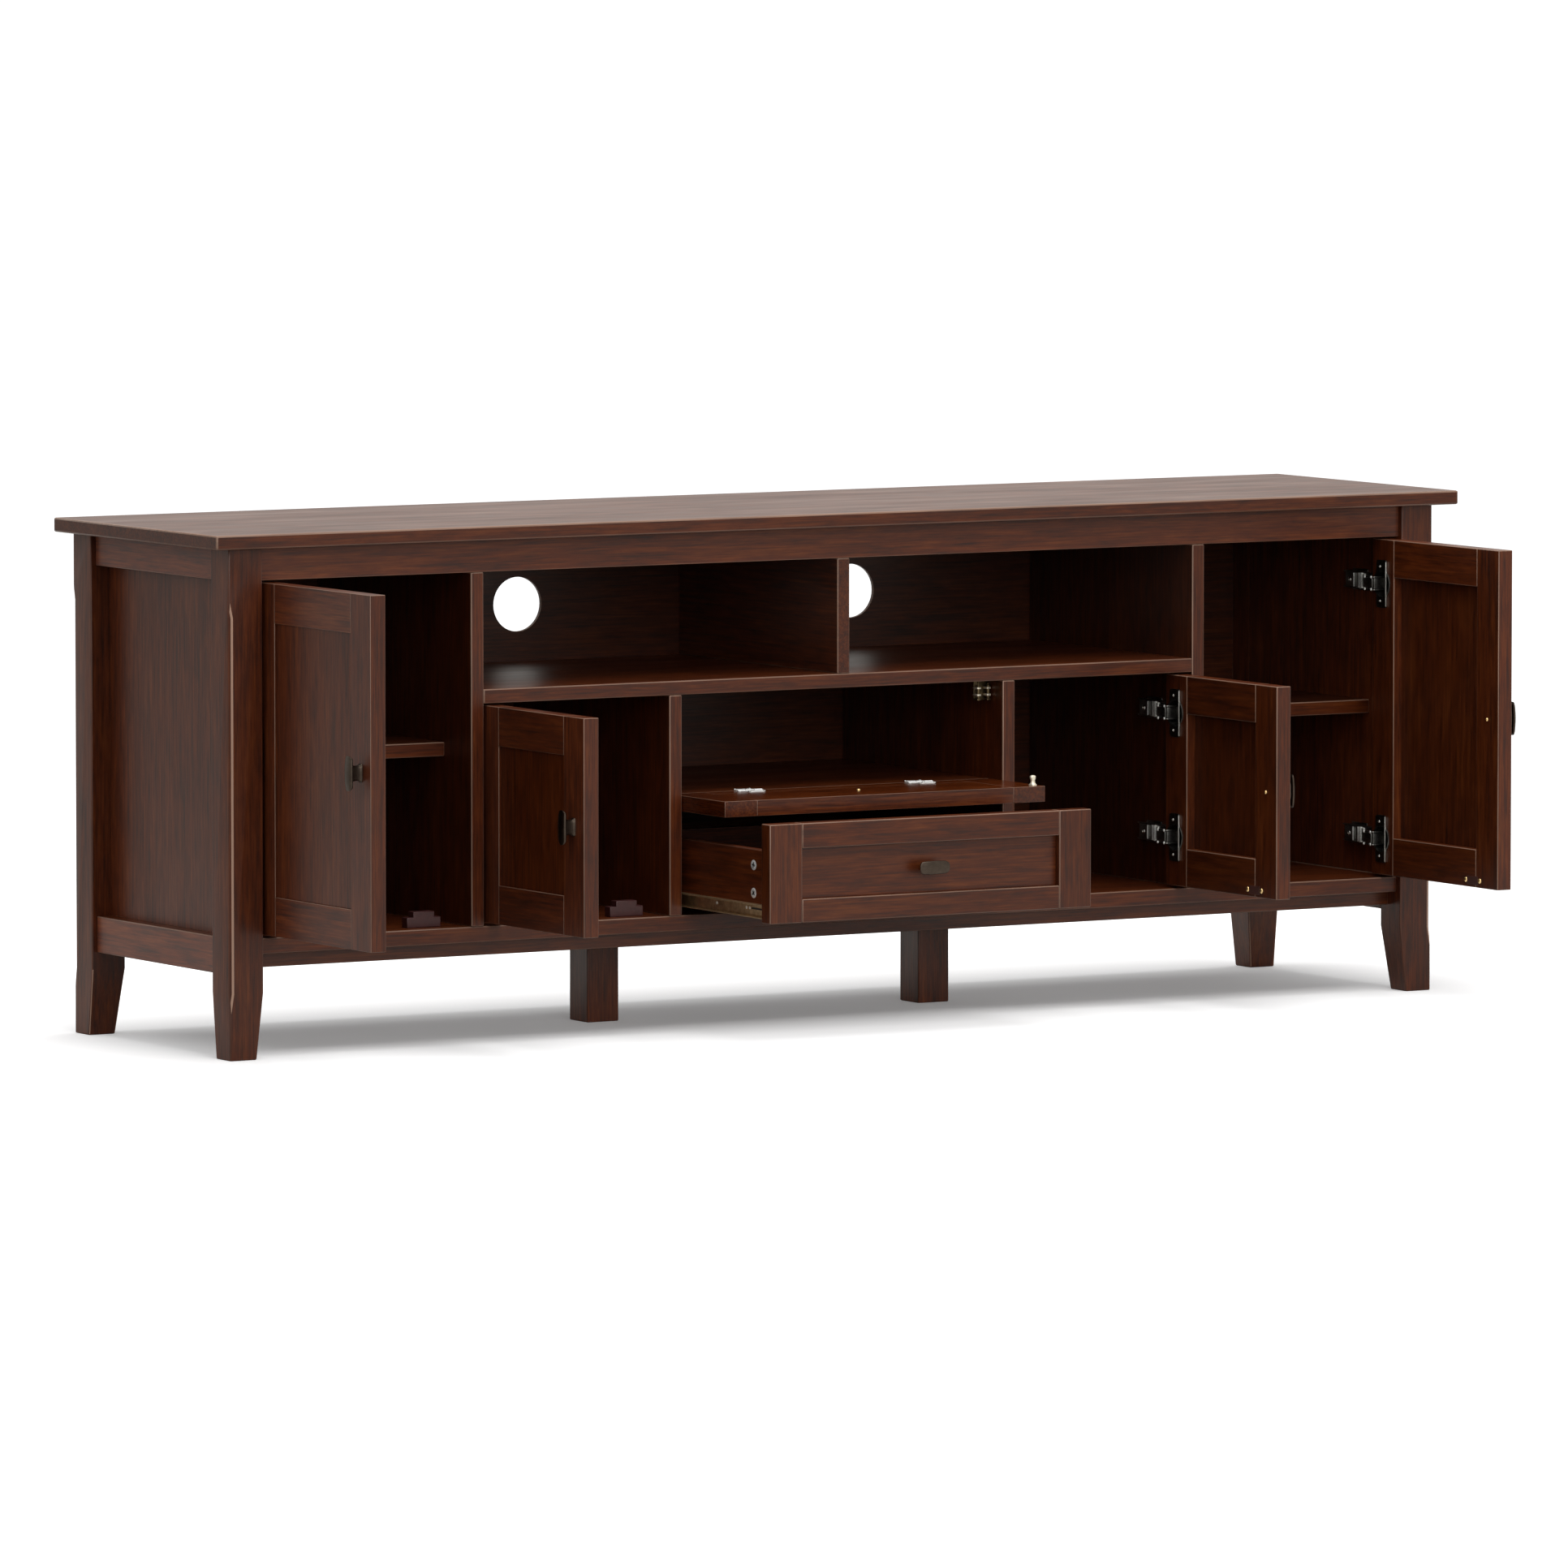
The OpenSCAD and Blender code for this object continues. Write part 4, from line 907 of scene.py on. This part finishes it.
arm_nickel = metal_material("arm nickel", (0.17, 0.165, 0.155), 0.30)
clip_steel = metal_material("clip steel", (0.88, 0.88, 0.83), 0.28, metallic=0.5)
arms, clips, rivets, screws = bmesh.new(), bmesh.new(), [], []
for door in DOORS:
    for height in hinge_heights(door):
        place = arm_frame_of(door, height)
        away = place.to_3x3() @ Vector((1, 0, 0))
        hinge_arm(arms, place)
        hinge_clip(clips, place)
        for step in (-1, 1):
            for y in (0.0035, 0.0185):
                spot = Vector((HOOK_HIGH - 0.0002, y, step * RIVET_APART))
                rivets.append((place @ spot, away))
        for y in (0.041, 0.088):
            screws.append((place @ Vector((ARM_TOP - 0.0006, y, 0)), away))
shade_by_angle(arms, METAL_SMOOTH)
shade_by_angle(clips, METAL_SMOOTH)
finished(arms, "hinge_arms_nickel", "carcass", arm_nickel, "hinge_nickel", "hinge_arms")
finished(clips, "hinge_clips", "carcass", clip_steel, "hinge_nickel")
heads_on("hinge_rivets", "carcass", rivet_heads, rivets, HINGE_RIVET, clip_steel,
         "hinge_nickel")
heads_on("hinge_arm_screws", "carcass", cross_heads, screws, ARM_SCREW, bright_screw,
         "hinge_nickel")

# Catches of the doors
# Stepped magnetic catches in dark maroon stand on the floor panel behind each door's
# free edge and meet the strike plate when the door shuts.

catch_maroon = metal_material("catch maroon", (0.052, 0.0125, 0.0125), 0.42, metallic=0.0)
CATCH_EASE = 0.0009
catches = bmesh.new()
catches.from_mesh(frame["nodes"]["door_catches"].data)
ease_edges(catches, CATCH_EASE)
shade_by_angle(catches)
finished(catches, "door_catches_maroon", "carcass", catch_maroon, "catch_plastic",
         "door_catches")

# Flap
# The fall flap is a small frame and panel. It lies open, and its polished inner face
# mirrors what stands on it.

FLAP_POLISH = 0.62
polished_wood = wood_material("polished stained wood", STAIN_DARK, STAIN_RED, STAIN_LIGHT,
                              WORN_AND_LIT_EDGE, polish=FLAP_POLISH)
wooden("flap_frame", DOOR_EASE, material=polished_wood)
wooden("flap_panel", DOOR_PANEL_EASE, wear_and_highlight=0.0, material=polished_wood)

# Hinges of the flap
# Two small bright butterfly hinges join the flap to the board over the drawer. Each has
# a leaf on the flap, a plate on the board and a knuckle of three barrels.

KNUCKLE_HALF = 0.0185
LEAF_HALF = 0.0150
LEAF_REACH = 0.0215
LEAF_THICK = 0.0012
PLATE_LIFT = 0.0003
KNUCKLE = 0.0024
KNUCKLE_FIT = 0.0003
LUG_REACH = 0.0045
FLAP_SCREW = (0.0021, 0.0009, 0.0007)
SCREW_OUT = 0.011
FAR_SCREW_Y = 0.0185
NEAR_SCREW_Y = 0.008
FLAP_PIVOT = PIVOT["flap"]

# Painted reflection: the near-white base stands in for the white surround that polished hinges
# mirror.
nickel_with_painted_reflection = metal_material("bright satin nickel", (0.97, 0.97, 0.95), 0.32, speckle=0.03,
                               metallic=0.12)
FLAP_HINGE_X = corners_of("flap_hinge_leaves")[1].x - KNUCKLE_HALF


def butterfly(way):
    """Half a butterfly hinge: full at the knuckle, drawn in, and full again at its tip."""
    shape = [(1.00, 0.16), (0.98, 0.24), (0.78, 0.36), (0.62, 0.50), (0.66, 0.66),
             (0.84, 0.78), (0.82, 0.88), (0.66, 0.93), (0.42, 0.90), (0.18, 0.86)]
    half = [(LEAF_HALF * x, way * LEAF_REACH * y) for x, y in shape]
    return half + [(-x, y) for x, y in reversed(half)]


def barrel(bm, centre, start, end):
    """A turned barrel of the knuckle along X, its ends eased."""
    rings = []
    for x, size in ((start, 0.82), (start + 0.0004, 1.0), (end - 0.0004, 1.0), (end, 0.82)):
        rings.append([(x, KNUCKLE * size * math.cos(math.tau * i / 20),
                       KNUCKLE * size * math.sin(math.tau * i / 20)) for i in range(20)])
    skin(bm, rings, Matrix.Translation(centre))


leaves, plates, leaf_screws, plate_screws = bmesh.new(), bmesh.new(), [], []
third = 2 * KNUCKLE_HALF / 3
plate_top = PLATE_LIFT + LEAF_THICK
for side in (-1, 1):
    centre = Vector((side * FLAP_HINGE_X, FLAP_PIVOT.y, FLAP_PIVOT.z))
    place = Matrix.Translation(centre)
    plate_of(leaves, butterfly(-1), 0.0, LEAF_THICK, 0.0003, place)
    plate_of(plates, butterfly(1), PLATE_LIFT, plate_top, 0.0003, place)
    for step in (-1, 1):
        start = step * third - third / 2 + KNUCKLE_FIT
        end = start + third - 2 * KNUCKLE_FIT
        barrel(leaves, centre, start, end)
        block(leaves, (start, -LUG_REACH, 0.0), (end, 0.0, LEAF_THICK), 0.0002, place)
    half = third / 2 - KNUCKLE_FIT
    barrel(plates, centre, -half, half)
    block(plates, (-half, 0.0, PLATE_LIFT), (half, LUG_REACH, plate_top), 0.0002, place)
    block(plates, (-LEAF_HALF * 0.70, 0.0118, 0.0),
          (LEAF_HALF * 0.70, LEAF_REACH * 0.92, PLATE_LIFT + LEAF_THICK / 2), 0.0001, place)
    for x, y in ((-SCREW_OUT, FAR_SCREW_Y), (SCREW_OUT, FAR_SCREW_Y), (0, NEAR_SCREW_Y)):
        leaf_screws.append((centre + Vector((x, -y, LEAF_THICK)), UP))
        plate_screws.append((centre + Vector((x, y, plate_top)), UP))
shade_by_angle(leaves, METAL_SMOOTH)
shade_by_angle(plates, METAL_SMOOTH)
finished(leaves, "flap_leaves_nickel", "flap", nickel_with_painted_reflection, "bright_steel",
         "flap_hinge_leaves")
finished(plates, "flap_plates_nickel", "carcass", nickel_with_painted_reflection, "bright_steel",
         "flap_hinge_plates")
heads_on("flap_leaf_screws", "flap", cross_heads, leaf_screws, FLAP_SCREW, bright_screw,
         "bright_steel")
heads_on("flap_plate_screws", "carcass", cross_heads, plate_screws, FLAP_SCREW,
         bright_screw, "bright_steel")

# Strike and roller catch of the flap
# A cast brass strike stands at the flap's right end. It clips between two rollers with
# pale bands, in a dull bracket of folded brass fixed under the middle shelf.

pale_brass = metal_material("pale cast brass", (0.93, 0.85, 0.68), 0.32, metallic=0.5)
dark_brass = metal_material("dull folded brass", (0.13, 0.095, 0.05), 0.36, metallic=0.9)
FLAP_KNOB_SCREW = (0.0028, 0.0019, 0.0010)
strike_low, strike_high = corners_of("flap_strike")
strike_at = Vector((strike_high.x - 0.004, strike_low.y + 0.006, FLAP_PIVOT.z))
STRIKE_SECTIONS = [
    (0.0000, 0.0040, 0.0058), (0.0010, 0.0040, 0.0058), (0.0016, 0.0036, 0.0050),
    (0.0030, 0.0031, 0.0028), (0.0050, 0.0027, 0.0023), (0.0068, 0.0028, 0.0022),
    (0.0085, 0.0036, 0.0023), (0.0102, 0.0040, 0.0024), (0.0118, 0.0038, 0.0023),
    (0.0126, 0.0030, 0.0019), (0.0130, 0.0016, 0.0010),
]
strike = bmesh.new()
skin(strike, [oval(half_x, half_y, z, power=3.2) for z, half_x, half_y in STRIKE_SECTIONS],
     Matrix.Translation(strike_at))
shade_by_angle(strike, limit=math.radians(45))
finished(strike, "flap_strike_brass", "flap", pale_brass, "brass", "flap_strike")
flap_low, flap_high = corners_of("flap_frame")
heads_on("flap_knob_screw", "flap", cross_heads,
         [(Vector((0, (flap_low.y + flap_high.y) / 2, FLAP_PIVOT.z)), UP)],
         FLAP_KNOB_SCREW, brass, "brass")

ROLLER_APART = 0.0073
ROLLER = 0.0030
ROLLER_HALF = 0.009
BAND_APART = 0.0044
BAND_HALF = 0.0014
BAND_DEEP = 0.0115
ROLLER_LIFT = 0.0023
ROLLER_SECTIONS = [
    (0.0, -1.12), (0.30, -1.12), (0.30, -0.98), (0.70, -0.96), (0.82, -0.88),
    (0.82, 0.88), (0.70, 0.96), (0.30, 0.98), (0.30, 1.12), (0.0, 1.12),
]
TONGUE_APART = 0.0046
TONGUE_HALF = 0.0003
catch_low, catch_high = corners_of("roller_catch")
roller_y = catch_low.y + ROLLER
roller_z = catch_low.z + ROLLER_LIFT + ROLLER_HALF
bracket, rollers = bmesh.new(), bmesh.new()
block(bracket, (catch_low.x, catch_low.y, catch_high.z - 0.002),
      (catch_high.x, catch_high.y, catch_high.z), 0.0005)
block(bracket, (catch_low.x, catch_high.y - 0.008, catch_low.z),
      (catch_high.x, catch_high.y - 0.006, catch_high.z - 0.001), 0.0005)
for side in (-1, 1):
    x = strike_at.x + side * ROLLER_APART
    block(bracket, (x - ROLLER, catch_low.y, catch_low.z),
          (x + ROLLER, catch_high.y - 0.0065, catch_low.z + 0.002), 0.0005)
    tongue_x = strike_at.x + side * TONGUE_APART
    block(bracket, (tongue_x - TONGUE_HALF, catch_high.y - 0.010, roller_z + 0.010),
          (tongue_x + TONGUE_HALF, catch_high.y - 0.007, catch_high.z - 0.001), 0.0001)
    rings = [oval(radius * ROLLER, radius * ROLLER, z * ROLLER_HALF, count=24 if radius else 1)
             for radius, z in ROLLER_SECTIONS]
    skin(bracket, rings, Matrix.Translation((x, roller_y, roller_z)))
    for z in (roller_z - BAND_APART, roller_z + BAND_APART):
        block(rollers, (x - ROLLER, catch_low.y + 0.0002, z - BAND_HALF),
              (x + ROLLER, catch_low.y + BAND_DEEP, z + BAND_HALF), 0.0007, segments=3)
shade_by_angle(bracket, METAL_SMOOTH)
shade_by_angle(rollers, limit=math.radians(45))
finished(bracket, "roller_bracket", "carcass", dark_brass, "brass", "roller_catch")
finished(rollers, "catch_rollers", "carcass", pale_brass, "brass")

# Drawer
# The drawer front is a frame and panel. The box behind it is of plain boards, held to
# the front by round cam locks with a cross slot.

DRAWER_FRONT_EASE = 0.0012
# Painted shade: the drawer front is darkened. Painted light: the drawer box's left faces are
# lightened.
DRAWER_FRONT_PAINTED_SHADE = 0.90
DRAWER_BOX_EASE = 0.0010
DRAWER_BOX_WEAR_AND_HIGHLIGHT = 0.25
DRAWER_LEFT_PAINTED_LIGHT = 1.25

wooden("drawer_front_frame", DRAWER_FRONT_EASE, tone_and_light=DRAWER_FRONT_PAINTED_SHADE)
wooden("drawer_front_panel", DOOR_PANEL_EASE, wear_and_highlight=0.0)
for node in ["drawer_sides", "drawer_back", "drawer_bottom"]:
    wooden(node, DRAWER_BOX_EASE, slot="inside_wood", wear_and_highlight=DRAWER_BOX_WEAR_AND_HIGHLIGHT,
           painted_side_light=(LEFTWARD, DRAWER_LEFT_PAINTED_LIGHT))

cam_low, cam_high = corners_of("drawer_cam_locks")
CAM_RADIUS = (cam_high.y - cam_low.y) / 2
CAM_PROUD = 0.0006
CAM_SLOT = 0.0026
lock_zinc = metal_material("bright zinc", (0.96, 0.96, 0.93), 0.30, metallic=0.25)
# Painted shade: a dark finish fills the cam locks' cross slots and marks the runners' slots.
painted_slot_shade = metal_material("painted slot shade", (0.030, 0.026, 0.022), 0.60, metallic=0.0)
cam_seats = []
for side in (-1, 1):
    for z in (cam_low.z + CAM_RADIUS, cam_high.z - CAM_RADIUS):
        spot = Vector((side * (cam_high.x - CAM_PROUD), cam_low.y + CAM_RADIUS, z))
        cam_seats.append((spot, Vector((side, 0, 0))))
cam_head = (CAM_RADIUS, CAM_PROUD, CAM_SLOT)
heads_on("drawer_cam_locks_steel", "drawer", cross_heads, cam_seats, cam_head, lock_zinc,
         "bright_steel", "drawer_cam_locks")
heads_on("drawer_cam_lock_slot_shade", "drawer", painted_cross_slot_shade, cam_seats, cam_head, painted_slot_shade,
         "bright_steel")

# Runners of the drawer
# Folded steel channels with an antique brass coat: one pair on the drawer's sides, one
# pair on the dividers, fixed by flat rivets.

antique = metal_material("antique brass coat", (0.50, 0.35, 0.20), 0.36, speckle=0.25,
                         metallic=0.85)
RUNNER_EASE = 0.0005
RUNNER_SHEET = 0.0012
RUNNER_RIVET = (0.0021, 0.0010, 0.0)
RUNNER_RIVETS_AT = (-0.133, -0.206, -0.214, 0.06, 0.16)
SLOT_START = -0.245
SLOT_END = -0.2185
SLOT_HALF = 0.0012
SLOT_MARK = 0.0003
for node, body in (("drawer_runners", "drawer"), ("drawer_tracks", "carcass")):
    channels = bmesh.new()
    channels.from_mesh(frame["nodes"][node].data)
    ease_edges(channels, RUNNER_EASE)
    shade_by_angle(channels, METAL_SMOOTH)
    finished(channels, node + "_antique", body, antique, "runner_metal", node)
run_low, run_high = corners_of("drawer_runners")
web_x = corners_of("drawer_sides")[1].x + RUNNER_SHEET
web_z = (run_low.z + run_high.z) / 2 + 0.002
rivet_seats = []
runner_slot_shade = bmesh.new()
for side in (-1, 1):
    for y in RUNNER_RIVETS_AT:
        rivet_seats.append((Vector((side * web_x, y, web_z)), Vector((side, 0, 0))))
    # Painted shade: a thin dark strip stands in for each runner's slot.
    block(runner_slot_shade, (side * web_x - SLOT_MARK, SLOT_START, web_z - SLOT_HALF),
          (side * web_x + SLOT_MARK, SLOT_END, web_z + SLOT_HALF), 0.0002)
heads_on("runner_rivets", "drawer", rivet_heads, rivet_seats, RUNNER_RIVET, lock_zinc,
         "runner_metal")
finished(runner_slot_shade, "runner_slot_shade", "drawer", painted_slot_shade, "runner_metal")

# Studio
# A pale floor, a white surround, broad soft boxes over and before the stand, and the camera at
# the photograph's angle. For the camera the floor glows as painted light, more with distance
# from the stand and under the drawer, which lifts the stand's shadow there.

CAMERA_PLACE = (-8.65596, -14.49075, 1.69381)
CAMERA_TILT = math.radians(90 - 4.7157)
CAMERA_TURN = math.radians(-30.7105)
CAMERA_LENS = 305.79
FLOOR_HALF = 90.0
WARM_WHITE = (1.0, 0.98, 0.925, 1)
FLOOR_WHITE = 0.95
FLOOR_GREY = (0.140, 0.150, 0.166, 1)
SHADOW_MIDDLE = (0.05, 0.14)
SHADOW_HALF = (0.80, 0.09)
WORLD_LIGHT = 0.58
WORLD_MIRRORED = 0.86
MIRRORED_FLOOR = (-2.5, 0.5, 0.58, FLOOR_WHITE)
GLOW_BY_DISTANCE = (0.0, 0.40, 0.14, 0.55)
GLOW_BY_DEPTH = (0.06, -0.12, 0.0, 0.30)
GLOW_ASIDE = (0.32, 0.18)


def rays(tree):
    """Whether a ray comes from the camera, and whether it comes off a mirroring surface."""
    path = add(tree, "ShaderNodeLightPath").outputs
    glossy = calculate(tree, "MAXIMUM", path["Is Glossy Ray"], path["Is Transmission Ray"])
    return path["Is Camera Ray"], glossy


floor_mesh = bpy.data.meshes.new("floor")
floor_mesh.from_pydata(
    [(-FLOOR_HALF, -FLOOR_HALF, 0), (FLOOR_HALF, -FLOOR_HALF, 0),
     (FLOOR_HALF, FLOOR_HALF, 0), (-FLOOR_HALF, FLOOR_HALF, 0)], [], [(0, 1, 2, 3)])
floor = placed("floor", floor_mesh)
pale, tree, shader = new_material("pale floor")
shader.inputs["Roughness"].default_value = 0.9
shader.inputs["Specular IOR Level"].default_value = 0.0
direct, mirrored = rays(tree)
seen = calculate(tree, "MAXIMUM", direct, mirrored)
place = add(tree, "ShaderNodeTexCoord").outputs["Object"]
apart = add(tree, "ShaderNodeSeparateXYZ", {0: place}).outputs
white = calculate(tree, "MAXIMUM", spread(tree, apart["X"], *MIRRORED_FLOOR),
                  calculate(tree, "MULTIPLY", direct, FLOOR_WHITE))
white = blend_colours(tree, mirrored, white, WARM_WHITE, kind="MULTIPLY")
tree.links.new(blend_colours(tree, seen, FLOOR_GREY, white), shader.inputs["Base Color"])
shader.inputs["Emission Color"].default_value = (1, 1, 1, 1)
# Painted light: the floor's glow grows with distance from the stand's footprint, and a patch
# under the drawer lifts its shadow.
past = []
for axis in (0, 1):
    off = calculate(tree, "SUBTRACT", apart[axis], SHADOW_MIDDLE[axis])
    off = calculate(tree, "SUBTRACT", calculate(tree, "ABSOLUTE", off), SHADOW_HALF[axis])
    off = calculate(tree, "MAXIMUM", off)
    past.append(calculate(tree, "MULTIPLY", off, off))
beyond = calculate(tree, "SQRT", calculate(tree, "ADD", past[0], past[1]))
aside = calculate(tree, "ABSOLUTE", apart["X"])
drawer_glow = calculate(tree, "MULTIPLY", spread(tree, aside, *GLOW_ASIDE),
                        spread(tree, apart["Y"], *GLOW_BY_DEPTH))
glow = calculate(tree, "ADD", spread(tree, beyond, *GLOW_BY_DISTANCE), drawer_glow)
tree.links.new(calculate(tree, "MULTIPLY", direct, glow), shader.inputs["Emission Strength"])
floor_mesh.materials.append(pale)

world = bpy.data.worlds.new("studio")
world.use_nodes = True
bpy.context.scene.world = world
tree = world.node_tree
direct, mirrored = rays(tree)
strength = spread(tree, mirrored, 0, 1, WORLD_LIGHT, WORLD_MIRRORED)
strength = calculate(tree, "MAXIMUM", strength, direct)
background = tree.nodes["Background"]
tree.links.new(blend_colours(tree, mirrored, (1, 1, 1, 1), WARM_WHITE),
               background.inputs["Color"])
tree.links.new(strength, background.inputs["Strength"])


def softbox(name, place, aim, size, power):
    """A broad soft lamp that looks from its place at its aim."""
    lamp = bpy.data.lights.new(name, "AREA")
    lamp.shape = "RECTANGLE"
    lamp.size, lamp.size_y = size
    lamp.energy = power
    lamp_object = placed(name, lamp)
    lamp_object.location = place
    way = Vector(aim) - Vector(place)
    lamp_object.rotation_euler = way.to_track_quat("-Z", "Y").to_euler()


softbox("key", (0.0, -2.0, 4.4), (0, 0, 0.3), (3.2, 2.4), 80)
softbox("overhead", (0.0, 0.1, 4.8), (0, 0.1, 0.3), (3.0, 2.6), 85)
softbox("front", (-1.0, -7.0, 2.4), (0, 0, 0.3), (4.0, 3.0), 85)

camera_data = bpy.data.cameras.new("camera")
camera_data.lens = CAMERA_LENS
camera_data.sensor_width = 36.0
camera_data.clip_start = 0.5
camera_data.clip_end = 300.0
camera = placed("camera", camera_data)
camera.location = CAMERA_PLACE
camera.rotation_euler = (CAMERA_TILT, 0.0, CAMERA_TURN)
bpy.context.scene.camera = camera
bpy.context.scene.view_settings.view_transform = "Standard"
